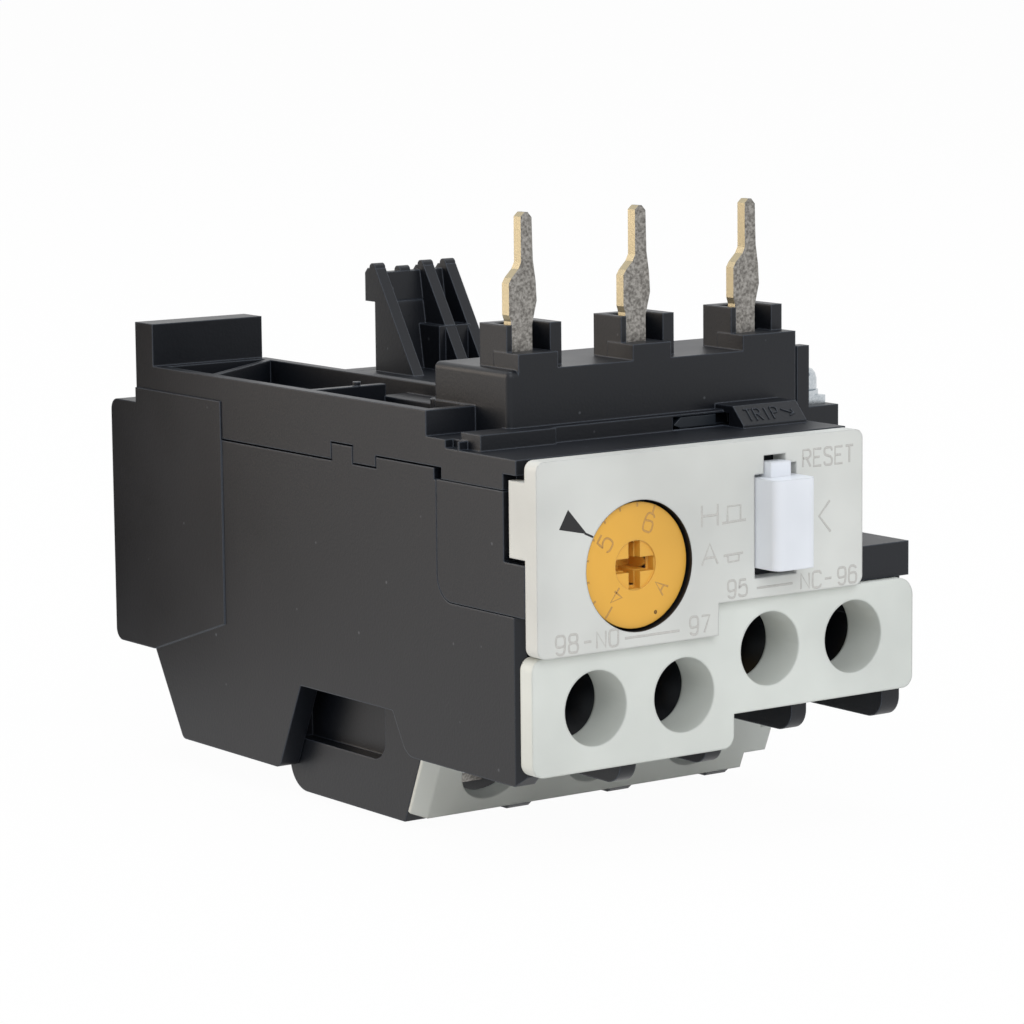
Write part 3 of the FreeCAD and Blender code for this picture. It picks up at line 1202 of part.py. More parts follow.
def coil_terminal():
    """Strip, washer and pan-head screw of the coil terminal on the right."""
    x, y, tab, seat = COIL_X, COIL_Y, s.coil_tab, s.deck + s.strip
    bore = s.coil_shank + s.running
    plate = block("coil_plate", (x - tab, y - tab - 0.2, s.deck), (x + tab, s.coil_back, seat))
    leg = block("coil_leg", (x - 1.8, s.coil_back - s.strip, s.coil_low), (x - 0.1, s.coil_back, seat))
    hole = rod("coil_hole", "z", (x, y, s.deck - 1), bore, 3)
    keep(cut("coil_terminal", fuse("coil_strip", plate, leg), hole), "coil_terminal")
    disc = rod("coil_disc", "z", (x, y, seat), s.coil_washer, s.coil_washer_thick)
    disc_bore = rod("coil_disc_bore", "z", (x, y, s.deck), bore, 3)
    keep(cut("coil_washer", disc, disc_bore), "coil_washer")
    head_at = seat + s.coil_washer_thick
    head = rod("coil_head", "z", (x, y, head_at), s.coil_head, s.coil_head_tall)
    shank = rod("coil_shank", "z", (x, y, s.deck - 3.6), s.coil_shank, head_at - s.deck + 3.7)
    keep(fuse("coil_screw", head, shank), "coil_screw")


def build():
    for make in (lower_housing, upper_housing, contact_block, front_cover, aux_terminal_cover,
                 main_terminal_cover, terminal_block, adjusting_dial, reset_button, test_lever):
        make()
    for pole in range(POLES):
        for make in (blade, feed_strip, bimetal, sleeve, heater, load_terminal):
            make(pole)
    for make in (main_screws, slide_bars, differential_lever, release_lever, contact_carrier,
                 contact_bridges, aux_screws, coil_terminal):
        make()
    for index in range(len(AUX_TERMINALS)):
        fixed_contact(index)
    button_end = (SPRING_X, BUTTON_BACK + s.running, SPRING_Z)
    spring("reset_spring", 1.35, 0.2, 6, button_end, s.room_back)
    carrier_end = (riser_x(2) - 4.4, CARRIER_BACK + s.running, s.room_floor + 1.3)
    spring("trip_spring", 0.9, 0.15, 6, carrier_end, s.room_back)
    doc.recompute()


def check():
    """Stop if any object failed or any sub-part has no sound shape."""
    for item in doc.Objects:
        if "Invalid" in item.State or "Error" in item.State:
            raise RuntimeError(f"{item.Label}: {item.State}")
    for label, owner in parts.items():
        if owner.Shape.isNull() or not owner.Shape.isValid():
            raise RuntimeError(f"{label}: no valid shape")


def write():
    os.makedirs("parts", exist_ok=True)
    for label, owner in parts.items():
        owner.Shape.exportStep(f"parts/{label}.step")
    print(len(parts), "sub-parts written")


build()
check()
write()
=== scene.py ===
# %% [markdown]
# # A thermal overload relay
# The relay clips under a motor contactor. Three blades go up into the contactor, three slanted
# terminals take the motor wires, and four small terminals in front carry the control wires.
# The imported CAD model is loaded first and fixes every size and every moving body. What follows
# gives it soft edges, screws with a drive and a thread, print, finishes, light and a camera.

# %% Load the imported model
import json
import math

import bmesh
import bpy
from mathutils import Matrix, Vector


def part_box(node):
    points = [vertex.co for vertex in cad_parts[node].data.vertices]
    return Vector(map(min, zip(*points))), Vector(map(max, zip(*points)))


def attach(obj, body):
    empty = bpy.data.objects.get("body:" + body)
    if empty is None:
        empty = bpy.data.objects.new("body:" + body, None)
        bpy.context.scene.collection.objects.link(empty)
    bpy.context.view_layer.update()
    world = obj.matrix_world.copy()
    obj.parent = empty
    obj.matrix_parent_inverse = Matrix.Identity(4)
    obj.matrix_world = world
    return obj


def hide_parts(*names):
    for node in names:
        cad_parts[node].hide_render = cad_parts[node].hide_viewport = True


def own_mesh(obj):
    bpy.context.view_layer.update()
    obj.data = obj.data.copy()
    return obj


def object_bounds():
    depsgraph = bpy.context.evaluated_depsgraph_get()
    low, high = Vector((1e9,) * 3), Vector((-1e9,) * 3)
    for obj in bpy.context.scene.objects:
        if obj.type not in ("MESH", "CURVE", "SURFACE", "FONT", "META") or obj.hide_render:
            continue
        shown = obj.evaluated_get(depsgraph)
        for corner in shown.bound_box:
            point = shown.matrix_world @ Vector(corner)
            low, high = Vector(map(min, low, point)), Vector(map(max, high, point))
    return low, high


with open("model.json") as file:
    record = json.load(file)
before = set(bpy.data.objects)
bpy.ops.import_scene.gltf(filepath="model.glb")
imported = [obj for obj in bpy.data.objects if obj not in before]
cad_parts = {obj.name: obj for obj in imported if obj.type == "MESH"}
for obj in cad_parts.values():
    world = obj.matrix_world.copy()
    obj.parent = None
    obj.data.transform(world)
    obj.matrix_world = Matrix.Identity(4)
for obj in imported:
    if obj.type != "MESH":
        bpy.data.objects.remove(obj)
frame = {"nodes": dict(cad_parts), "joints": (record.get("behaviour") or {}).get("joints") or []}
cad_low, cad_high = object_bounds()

MM = 0.001
NODES = frame["nodes"]
print("CAD box in mm:", [round(side / MM, 2) for side in cad_high - cad_low], "nodes:", len(NODES))

# %% [markdown]
# ## Camera
# A long lens keeps the upright edges nearly parallel, as in a catalogue picture. It could be aimed
# with a Track To constraint, but a matrix made from the three directions of the camera is exact
# and also holds the small roll.

# %% Camera
YAW, PITCH, ROLL = math.radians(35.577), math.radians(8.305), math.radians(-0.587)
LENS_PLACE = Vector((-227.6, -318.7, 84.45)) * MM
SENSOR_WIDTH, FOCAL_LENGTH = 36.0, 140.2          # in mm, as on a real camera
NEAR_LIMIT, FAR_LIMIT = 0.05, 50.0                # in metres


def placed(name, data):
    """New object in the scene that holds a mesh, a lamp, a curve or a camera."""
    item = bpy.data.objects.new(name, data)
    bpy.context.collection.objects.link(item)
    return item


ahead = Vector((math.sin(YAW) * math.cos(PITCH), math.cos(YAW) * math.cos(PITCH), -math.sin(PITCH)))
level = Vector((math.cos(YAW), -math.sin(YAW), 0))
above = level.cross(ahead)
right = level * math.cos(ROLL) + above * math.sin(ROLL)
up = above * math.cos(ROLL) - level * math.sin(ROLL)
camera_data = bpy.data.cameras.new("catalogue_camera")
camera_data.sensor_width, camera_data.lens = SENSOR_WIDTH, FOCAL_LENGTH
camera_data.clip_start, camera_data.clip_end = NEAR_LIMIT, FAR_LIMIT
camera = placed("catalogue_camera", camera_data)
camera.matrix_world = Matrix.Translation(LENS_PLACE) @ Matrix((right, up, -ahead)).transposed().to_4x4()
bpy.context.scene.camera = camera
print("camera stands", round(camera.location.length, 3), "m from the origin")

# %% [markdown]
# ## Helpers for nodes, colours and texture scales
# A material is a tree of nodes. Each node needs its own settings, and each of its inputs takes
# either a value or a link, so one small function does all of that. Colours are written as sRGB
# hex values, as a colour fan would list them, and turned to the linear values that light needs.
# The scale of each pattern is worked out from its real size in mm.

# %% Node, colour and scale helpers
def linear(code):
    """Linear RGBA of an sRGB hex colour."""
    channels = [int(code[i:i + 2], 16) / 255 for i in (1, 3, 5)]
    return tuple(c / 12.92 if c <= 0.04045 else ((c + 0.055) / 1.055) ** 2.4 for c in channels) + (1.0,)


def add(tree, kind, inputs=None, **settings):
    """Adds a node with its settings; an input is a value, or a link as (node, output)."""
    node = tree.nodes.new("ShaderNode" + kind)
    for name, value in settings.items():
        setattr(node, name, value)
    for name, value in (inputs or {}).items():
        if isinstance(value, tuple) and isinstance(value[0], bpy.types.Node):
            tree.links.new(value[0].outputs[value[1]], node.inputs[name])
        else:
            node.inputs[name].default_value = value
    return node


def per_metre(size):
    """Scale of a texture whose pattern repeats every size mm."""
    return 1 / (size * MM)


print("mid grey #808080 in linear light:", round(linear("#808080")[0], 3))

# %% [markdown]
# ## Floor, world and lamps
# Small parts are shown on white paper in a light tent. The floor could be a bare white plane, but
# then it would have to be over-lit to look white. So rays that reach it straight from the camera,
# or by a reflection, see mostly paper white, while the object gets only the plain bounce light.
# The rest of the floor's shading keeps the soft shadow.
# Three soft boxes stand in the tent: a large one in front and one above, both a little cool, and a
# warm one low at the rear left, which gives the black side wall its sheen.

# %% Floor
FLOOR_RADIUS, FLOOR_SIDES = 12, 64      # metres, and corners of the disc
FLOOR_GAP = 0.05 * MM                   # keeps the paper clear of the relay's underside
PAPER_WHITE = 0.97                      # share of plain white where the paper is seen directly


def mesh_from(shape, name):
    """Turns a bmesh drawing into a mesh and frees the drawing."""
    mesh = bpy.data.meshes.new(name)
    shape.to_mesh(mesh)
    shape.free()
    return mesh


def cleared(owner):
    """The empty node tree of a material or of the world."""
    owner.use_nodes = True
    owner.node_tree.nodes.clear()
    return owner.node_tree


def seen_directly(tree):
    """1 for camera, glossy and transmission rays, 0 for the rays that carry light."""
    path = add(tree, "LightPath")
    either = add(tree, "Math", {0: (path, "Is Camera Ray"), 1: (path, "Is Glossy Ray")}, operation="MAXIMUM")
    return add(tree, "Math", {0: (either, 0), 1: (path, "Is Transmission Ray")}, operation="MAXIMUM")


sheet = bmesh.new()
sheet.faces.new([sheet.verts.new((FLOOR_RADIUS * math.cos(a), FLOOR_RADIUS * math.sin(a), -FLOOR_GAP))
                 for a in (math.tau * i / FLOOR_SIDES for i in range(FLOOR_SIDES))])
floor_mesh = mesh_from(sheet, "paper_floor")
floor = placed("paper_floor", floor_mesh)

# Uncoated paper: matt, with a hardly visible cloudiness of its fibres.
paper = bpy.data.materials.new("white_paper")
tree = cleared(paper)
fibres = add(tree, "TexNoise", {"Scale": per_metre(40), "Detail": 2.0})
tone = add(tree, "Mix", {0: (fibres, "Fac"), 6: linear("#eeeeee"), 7: linear("#f2f2f2")}, data_type="RGBA")
sheen = add(tree, "BsdfDiffuse", {"Color": (tone, 2)})
glow = add(tree, "Emission", {"Color": (1, 1, 1, 1), "Strength": 1.0})
share = add(tree, "Math", {0: (seen_directly(tree), 0), 1: PAPER_WHITE}, operation="MULTIPLY")
mixed = add(tree, "MixShader", {0: (share, 0), 1: (sheen, 0), 2: (glow, 0)})
add(tree, "OutputMaterial", {"Surface": (mixed, 0)})
floor_mesh.materials.append(paper)
print("floor radius in m:", round(max(v.co.length for v in floor_mesh.vertices), 2))

# %% World and lamps
TENT_LIGHT = 0.50                       # the tent as a lamp; its walls look paper white


def softbox(name, place, side, power, tint):
    """Square area lamp aimed at the middle of the relay; place and side in metres, power in watts."""
    data = bpy.data.lights.new(name, "AREA")
    data.energy, data.size, data.color = power, side, linear(tint)[:3]
    lamp = placed(name, data)
    lamp.location = place
    aim = (cad_low + cad_high) / 2 - Vector(place)
    lamp.rotation_euler = aim.to_track_quat("-Z", "Y").to_euler()


world = bpy.data.worlds.new("light_tent")
bpy.context.scene.world = world
tree = cleared(world)
strength = add(tree, "MapRange", {0: (seen_directly(tree), 0), 3: TENT_LIGHT, 4: 1.0})
tent = add(tree, "Background", {"Color": (1, 1, 1, 1), "Strength": (strength, 0)})
add(tree, "OutputWorld", {"Surface": (tent, 0)})

softbox("front_softbox", (-0.35, -1.0, 0.75), side=0.7, power=6.5, tint="#f8fbff")
softbox("top_softbox", (0.2, 0.1, 1.1), side=0.8, power=4.5, tint="#eef6ff")
softbox("left_softbox", (-0.8, 0.7, 0.3), side=0.6, power=5.0, tint="#ffeedb")
bpy.context.scene.view_settings.view_transform = "Standard"

# %% [markdown]
# ## Dark card
# Photographers put dark cards beside a shiny black object to keep the tent's white off part of it.
# This one stands beyond the rear left corner. It takes the sheen off the rear of the left wall and
# holds back some of the left lamp. It would stand in the picture, so it is hidden from the camera
# and works only through reflections and its shadow.

# %% Dark card
CARD_LEFT, CARD_RIGHT, CARD_TOP, CARD_BACK = -62 * MM, -26 * MM, 80 * MM, 72 * MM
card_mesh = bpy.data.meshes.new("dark_card")
card_mesh.from_pydata([(x, CARD_BACK, z) for x, z in (
    (CARD_LEFT, 0), (CARD_RIGHT, 0), (CARD_RIGHT, CARD_TOP), (CARD_LEFT, CARD_TOP))], [], [(0, 1, 2, 3)])
card = placed("dark_card", card_mesh)
card.visible_camera = card.visible_diffuse = card.visible_transmission = False

# Brown felt: it only has to look even and dim in a reflection, so it glows faintly by itself.
felt = bpy.data.materials.new("dark_felt")
tree = cleared(felt)
dim = add(tree, "Emission", {"Color": linear("#54493c"), "Strength": 1.0})
add(tree, "OutputMaterial", {"Surface": (dim, 0)})
card_mesh.materials.append(felt)
print("card in mm:", [round(side / MM) for side in card.dimensions])

# %% [markdown]
# ## Moulded plastics
# The cases are glass-filled nylon and the covers polycarbonate. Both come out of spark-eroded
# steel moulds, which leaves a fine matt grain, and no moulded edge is truly sharp. The grain is
# noise at 0.3 mm used as bump. The edges could all be bevelled in the mesh, but the housings have
# hundreds of them, so the Bevel node rounds their shading. Where the rounded and the true normal
# part, edges are painted paler: partly rubbed wear, partly a painted highlight. One function
# serves every colour.

# %% Moulded plastic
CLOUDS, SPECK_GAP = 14, 3.6             # mm: size of slow changes of tone, distance between dust specks


def new_finish(name):
    """New material with its node tree and its shader."""
    finish = bpy.data.materials.new(name)
    finish.use_nodes = True
    return finish, finish.node_tree, finish.node_tree.nodes["Principled BSDF"]


def moulded(name, colour, worn_lit_edge_tone, roughness, specular, edge, grain=0.3, relief=0.012, dust=0.0):
    """Moulded plastic; edge is the radius of its edges, grain and relief the mould texture, in mm; the edge
    tone paints the edges paler, partly as rubbed wear and partly as a painted highlight.
    """
    finish, tree, shader = new_finish(name)
    place = add(tree, "TexCoord")
    flow = add(tree, "TexNoise", {"Vector": (place, "Object"), "Scale": per_metre(CLOUDS), "Detail": 3.0})
    fine = add(tree, "TexNoise", {"Vector": (place, "Object"), "Scale": per_metre(grain), "Detail": 2.0})
    rounded = add(tree, "Bevel", {"Radius": edge * MM}, samples=6)
    true = add(tree, "NewGeometry")
    # The rounded and the true normal part at an edge; there the colour is painted paler, partly rubbed wear
    # and partly a painted highlight.
    likeness = add(tree, "VectorMath", {0: (rounded, 0), 1: (true, "Normal")}, operation="DOT_PRODUCT")
    worn_lit_edge_mask = add(tree, "MapRange", {0: (likeness, "Value"), 1: 0.995, 2: 0.80, 3: 0.0, 4: 0.55})
    shade = add(tree, "HueSaturation", {"Color": linear(colour), "Value": (
        add(tree, "MapRange", {0: (flow, "Fac"), 1: 0.3, 2: 0.7, 3: 0.90, 4: 1.10}), 0)})
    edges = add(tree, "Mix", {0: (worn_lit_edge_mask, 0), 6: (shade, 0), 7: linear(worn_lit_edge_tone)}, data_type="RGBA")
    # The middle of each cell of a Voronoi pattern holds one speck of dust.
    specks = add(tree, "TexVoronoi", {"Vector": (place, "Object"), "Scale": per_metre(SPECK_GAP)})
    speck = add(tree, "MapRange", {0: (specks, "Distance"), 1: 0.030, 2: 0.055, 3: dust, 4: 0.0})
    dusty = add(tree, "Mix", {0: (speck, 0), 6: (edges, 2), 7: linear("#a9adb4")}, data_type="RGBA")
    matt = add(tree, "MapRange", {0: (flow, "Fac"), 1: 0.3, 2: 0.7, 3: roughness - 0.04, 4: roughness + 0.05})
    bump = add(tree, "Bump", {"Height": (fine, "Fac"), "Distance": relief * MM, "Strength": 1.0,
                              "Normal": (rounded, 0)})
    tree.links.new(dusty.outputs[2], shader.inputs["Base Color"])
    tree.links.new(matt.outputs[0], shader.inputs["Roughness"])
    tree.links.new(bump.outputs[0], shader.inputs["Normal"])
    shader.inputs["IOR"].default_value = 1.5
    shader.inputs["Specular IOR Level"].default_value = specular
    return finish


# The second colour of each is its edge tone: partly rubbed wear, partly a painted highlight.
finishes = {
    # Black glass-filled nylon: nearly no body colour, so the eye gets little but its broad matt sheen.
    "case_black": moulded("black_glass_filled_nylon", "#101319", "#59616d",
                          roughness=0.41, specular=0.34, edge=0.22, dust=0.15),
    # Pale grey polycarbonate: matt, slightly warm, and smooth next to the black cases.
    "cover_grey": moulded("pale_grey_polycarbonate", "#d1d2cd", "#dddedb",
                          roughness=0.48, specular=0.42, edge=0.30, relief=0.006),
    # The terminal covers come from another mould and are a touch greener and lighter.
    "terminal_cover_grey": moulded("terminal_grey_polycarbonate", "#d4d7d1", "#dfe2dc",
                                   roughness=0.50, specular=0.42, edge=0.35, relief=0.006),
    # Acetal dial: waxy orange yellow with soft highlights.
    "dial_orange": moulded("orange_acetal", "#e7ae43", "#edbd63",
                           roughness=0.40, specular=0.45, edge=0.15, relief=0.003),
    # Acetal button: cool white, smoother than the covers.
    "button_white": moulded("white_acetal", "#e3e6eb", "#eef0f4",
                            roughness=0.38, specular=0.45, edge=0.25, relief=0.002),
    # Unfilled nylon slider: dark blue grey, with a finer grain and a clearer sheen than the cases.
    "slider_blue_grey": moulded("blue_grey_nylon", "#1e242b", "#3c4550",
                                roughness=0.42, specular=0.45, edge=0.12, relief=0.004),
    # Natural nylon bars and carrier: ivory, because nothing was added to colour them.
    "slide_white": moulded("natural_nylon", "#e3dfd0", "#efecdf",
                           roughness=0.40, specular=0.45, edge=0.12, relief=0.004),
}
print("plastics:", sorted(finishes))

# %% [markdown]
# ## Metals
# The blades are stamped from tin-plated brass strip: their faces are dull speckled tin, and their
# sheared sides show bare brass. Which of the two shows depends only on where a face looks, so the
# normal of the surface picks the colour. All metals share one function: a metal's colour is its
# reflection, so little more than colour, roughness and the direction of the rolling marks differs.

# %% Metal sheet and wire
def rolled_metal(name, colour, shaded, roughness, marks=(1, 1, 1), grain=0.5, relief=0.004, sheared=None):
    """Bare or plated metal; marks stretches the grain along an axis, grain and relief are in mm."""
    finish, tree, shader = new_finish(name)
    place = add(tree, "TexCoord")
    along = add(tree, "Mapping", {"Vector": (place, "Object"), "Scale": marks})
    streaks = add(tree, "TexNoise", {"Vector": (along, 0), "Scale": per_metre(grain), "Detail": 4.0})
    cloud = add(tree, "TexNoise", {"Vector": (place, "Object"), "Scale": per_metre(4), "Detail": 2.0})
    spread = add(tree, "MapRange", {0: (streaks, "Fac"), 1: 0.35, 2: 0.65})
    tone = add(tree, "Mix", {0: (spread, 0), 6: linear(shaded), 7: linear(colour)}, data_type="RGBA")
    if sheared:
        # Sheared sides look to the left and right, so the normal along X picks them out.
        facing = add(tree, "SeparateXYZ", {0: (add(tree, "NewGeometry"), "Normal")})
        sideways = add(tree, "Math", {0: (facing, "X")}, operation="ABSOLUTE")
        is_side = add(tree, "MapRange", {0: (sideways, 0), 1: 0.45, 2: 0.65})
        tone = add(tree, "Mix", {0: (is_side, 0), 6: (tone, 2), 7: linear(sheared)}, data_type="RGBA")
    matt = add(tree, "MapRange", {
        0: (cloud, "Fac"), 1: 0.3, 2: 0.7, 3: roughness - 0.05, 4: roughness + 0.08})
    bump = add(tree, "Bump", {"Height": (streaks, "Fac"), "Distance": relief * MM, "Strength": 0.7})
    tree.links.new(tone.outputs[2], shader.inputs["Base Color"])
    tree.links.new(matt.outputs[0], shader.inputs["Roughness"])
    tree.links.new(bump.outputs[0], shader.inputs["Normal"])
    shader.inputs["Metallic"].default_value = 1.0
    return finish


# Ways in which the rolling marks run.
ALONG_Y, ALONG_Y_LONG, ALONG_Z = (1, 0.1, 1), (1, 0.08, 1), (1, 1, 0.1)
finishes.update({
    # Clear zinc plate: bright, cool, with a faint blue and soft glints.
    "zinc_steel": rolled_metal("zinc_plated_steel", "#c9ced2", "#b4bbc0", 0.27, grain=0.25, relief=0.0008),
    # Rolled copper strip: warm orange red, with soft streaks along the strip.
    "strip_copper": rolled_metal("bright_copper_strip", "#d38d66", "#b9734f", 0.32, ALONG_Y),
    # Bimetal strip: plain warm grey of nickel steel, with long rolling marks.
    "bimetal_steel": rolled_metal("rolled_bimetal", "#b4b1aa", "#918e87", 0.36, ALONG_Y_LONG, grain=0.3),
    # Nickel-chrome tape: a brownish dull grey from the oxide that heat leaves on it.
    "heater_alloy": rolled_metal("nickel_chrome_tape", "#9c958b", "#77716a", 0.42, ALONG_Z, grain=0.3),
    # Drawn spring wire: bright grey and smoother than the strips.
    "spring_steel": rolled_metal("drawn_spring_wire", "#b9bcc0", "#8f9296", 0.25, ALONG_Y, grain=0.2),
    # Brass strip of the contacts: clear yellow with upright rolling marks.
    "contact_brass": rolled_metal("brass_strip", "#d6b66f", "#bd9b58", 0.30, ALONG_Z, grain=0.3),
})
print("metals so far:", [name for name in finishes if "steel" in name or "brass" in name])

# %% Tin-plated blades with bare sheared sides
# Tin dulls in specks about 0.3 mm across, and the sheared sides show brass that has gone greyish.
finishes["blade_tinned_brass"] = rolled_metal(
    "tinned_brass_blade", "#a3a09b", "#6c6965", 0.46, grain=0.26, relief=0.020, sheared="#b5aa8e")
print("blade finish uses", len(finishes["blade_tinned_brass"].node_tree.nodes), "nodes")

# %% [markdown]
# ## Glass silk sleeves
# Each bimetal strip is wrapped in a woven glass sleeve, which keeps the heater tape off it. Real
# threads are 0.25 mm apart. Two crossed wave textures, one per thread direction, give the weave.

# %% Glass silk
# A wave texture repeats every 0.31 of its unit, so a factor of 0.32 sets the threads their gap apart.
THREAD_GAP, WAVE_UNIT = 0.25, 0.32      # the gap in mm
thread_scale = WAVE_UNIT * per_metre(THREAD_GAP)
silk, tree, shader = new_finish("glass_silk_sleeve")
place = add(tree, "TexCoord")
warp, weft = [add(tree, "TexWave", {"Vector": (place, "Object"), "Scale": thread_scale}, bands_direction=way)
              for way in "YZ"]
weave = add(tree, "Math", {0: (warp, "Fac"), 1: (weft, "Fac")}, operation="MULTIPLY")
# Varnished glass yarn: ivory on the threads, browner in the gaps, and no gloss.
yarn = add(tree, "Mix", {0: (weave, 0), 6: linear("#b8b096"), 7: linear("#ebe6d6")}, data_type="RGBA")
raised = add(tree, "Bump", {"Height": (weave, 0), "Distance": 0.05 * MM, "Strength": 0.8})
tree.links.new(yarn.outputs[2], shader.inputs["Base Color"])
tree.links.new(raised.outputs[0], shader.inputs["Normal"])
shader.inputs["Roughness"].default_value = 0.75
finishes["sleeve_glass_silk"] = silk
print("weave scale per metre:", round(thread_scale))

# %% [markdown]
# ## Give every CAD node its finish
# The record names a material slot for each node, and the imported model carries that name, so the
# finish is looked up by it. Nothing about the meshes changes here.

# %% Assign finishes
SLOT_OF = {}
for name, piece in NODES.items():
    for holder in piece.material_slots:
        SLOT_OF[name] = holder.material.name.split(".")[0]
        holder.material = finishes[SLOT_OF[name]]
print({slot: sum(1 for used in SLOT_OF.values() if used == slot) for slot in sorted(finishes)})

# %% [markdown]
# ## Screws
# Terminal screws are pan heads with a cross and a slot, rolled thread and zinc plate. The CAD has
# only the outline of each one. The head is lathed, which means one profile is turned round the
# axis, and a Boolean cuts the drive out of it. The thread is a true helix: a crest line and a root
# line wind down together, so the flanks come out right and cost few faces.

# %% Where each screw sits
def seats(node, outward):
    """For each loose solid of a CAD node: its place, with +Z along outward and the head's top at 0."""
    turn = Vector((0, 0, 1)).rotation_difference(Vector(outward)).to_matrix().to_4x4()
    shape = bmesh.new()
    shape.from_mesh(NODES[node].data)
    bmesh.ops.remove_doubles(shape, verts=shape.verts, dist=0.001 * MM)
    waiting, found = set(shape.verts), []
    # Solids are taken in the order of their first vertex, because a set has no order of its own.
    for first in shape.verts:
        if first not in waiting:
            continue
        waiting.remove(first)
        group, queue = set(), [first]
        while queue:
            vert = queue.pop()
            group.add(vert)
            near = {edge.other_vert(vert) for edge in vert.link_edges} & waiting
            waiting -= near
            queue.extend(near)
        local = [turn.inverted() @ v.co for v in group]
        low = Vector(min(p[i] for p in local) for i in range(3))
        high = Vector(max(p[i] for p in local) for i in range(3))
        middle = (low + high) / 2
        radius = (high.x - low.x) / 2
        # Points near the full radius belong to the head, and the lowest points to the shank.
        neck = [p.z for p in local if math.hypot(p.x - middle.x, p.y - middle.y) > 0.9 * radius]
        shank = max(math.hypot(p.x - middle.x, p.y - middle.y) for p in local if p.z < low.z + 0.1 * MM)
        place = turn @ Matrix.Translation((middle.x, middle.y, high.z))
        found.append((place, radius, high.z - min(neck), shank, high.z - low.z))
    shape.free()
    return found


SLANT = math.radians(22.8)              # how far the main screws lean
leaning = (0, -math.cos(SLANT), -math.sin(SLANT))
# Name of the piece, CAD node, way its screws face, and pitch of their thread in mm.
SCREWS = (("main_pan_screws", "main_terminal_screws", leaning, 0.7),
          ("aux_pan_screws", "aux_terminal_screws", (0, -1, 0), 0.6),
          ("coil_pan_screw", "coil_screw", (0, 0, 1), 0.7))
SEATS = {node: seats(node, outward) for _, node, outward, _ in SCREWS}
for node, found in SEATS.items():
    print(node, len(found), "head radius, head, shank radius, length in mm:",
          [round(value / MM, 2) for value in found[0][1:]])

# %% Lathe and thread
def lathe(shape, profile, steps=48):
    """Turns (radius, height) points round Z; points on the axis close the ends."""
    rings = []
    for radius, height in profile:
        if radius == 0:
            rings.append([shape.verts.new((0, 0, height))])
        else:
            rings.append([shape.verts.new((radius * math.cos(math.tau * i / steps),
                                           radius * math.sin(math.tau * i / steps), height))
                          for i in range(steps)])
    for upper, lower in zip(rings, rings[1:]):
        for i in range(steps):
            j = (i + 1) % steps
            corners = [upper[i % len(upper)], lower[i % len(lower)],
                       lower[j % len(lower)], upper[j % len(upper)]]
            shape.faces.new(list(dict.fromkeys(corners)))


THREAD_DEPTH = 0.55                     # of the pitch


def thread(shape, radius, top, bottom, pitch, steps=24):
    """Helical thread surface between two heights."""
    depth, rows = THREAD_DEPTH * pitch, []
    for i in range(int((top - bottom) / pitch * steps) + 1):
        angle, height = math.tau * i / steps, top - pitch * i / steps
        rows.append([shape.verts.new((r * math.cos(angle), r * math.sin(angle), height - drop))
                     for r, drop in ((radius, 0), (radius - depth, pitch / 2))])
    for i in range(len(rows) - 1):
        shape.faces.new((rows[i][0], rows[i][1], rows[i + 1][1], rows[i + 1][0]))
        if i + steps + 1 < len(rows):
            shape.faces.new((rows[i][1], rows[i + steps][0], rows[i + steps + 1][0], rows[i + 1][1]))


print("thread depth at a pitch of 0.7 mm:", round(THREAD_DEPTH * 0.7, 3), "mm")

# %% Cross cutter
CUTTER_TAPER, SLOT_DEPTH = 0.8, 0.55    # size at the bottom, and depth of the slot, as shares
SQUARE = ((-1, -1), (1, -1), (1, 1), (-1, 1))


def cross_cutter(arm, half, depth, slot=0.0):
    """Cross-shaped prism that tapers downwards, with a straight slot across it if slot is given."""
    shape = bmesh.new()
    prisms = [(half, arm, depth), (arm, half, depth)]
    if slot:
        prisms.append((slot, 3 * arm, depth * SLOT_DEPTH))
    for wide, long, deep in prisms:
        top = [shape.verts.new((x * wide, y * long, MM)) for x, y in SQUARE]
        low = [shape.verts.new((x * wide * CUTTER_TAPER, y * long * CUTTER_TAPER, -deep)) for x, y in SQUARE]
        shape.faces.new(low[::-1])
        shape.faces.new(top)
        for i in range(4):
            j = (i + 1) % 4
            shape.faces.new((top[i], low[i], low[j], top[j]))
    bmesh.ops.recalc_face_normals(shape, faces=shape.faces)
    return mesh_from(shape, "cross_cutter")


def cut(mesh, cutter, place=Matrix(), broken=0.0):
    """The mesh with the cutter, set in place, taken out; broken is the bevel width of its edges."""
    blank, tool = placed("blank", mesh), placed("tool", cutter)
    tool.matrix_world = place
    carve = blank.modifiers.new("drive", "BOOLEAN")
    carve.operation, carve.object, carve.use_self = "DIFFERENCE", tool, True
    if broken:
        bevel = blank.modifiers.new("broken_edges", "BEVEL")
        bevel.width, bevel.segments, bevel.limit_method = broken, 2, "ANGLE"
        bevel.angle_limit = math.radians(50)
    carved = bpy.data.meshes.new_from_object(blank.evaluated_get(bpy.context.evaluated_depsgraph_get()))
    for item in (blank, tool):
        bpy.data.objects.remove(item)
    return carved


print("a slot goes", SLOT_DEPTH, "of the way down its cross")

# %% One screw
POINT, CORE, TIP = 0.4 * MM, 0.83, 0.6  # length of the blunt point; core and tip as shares of the shank


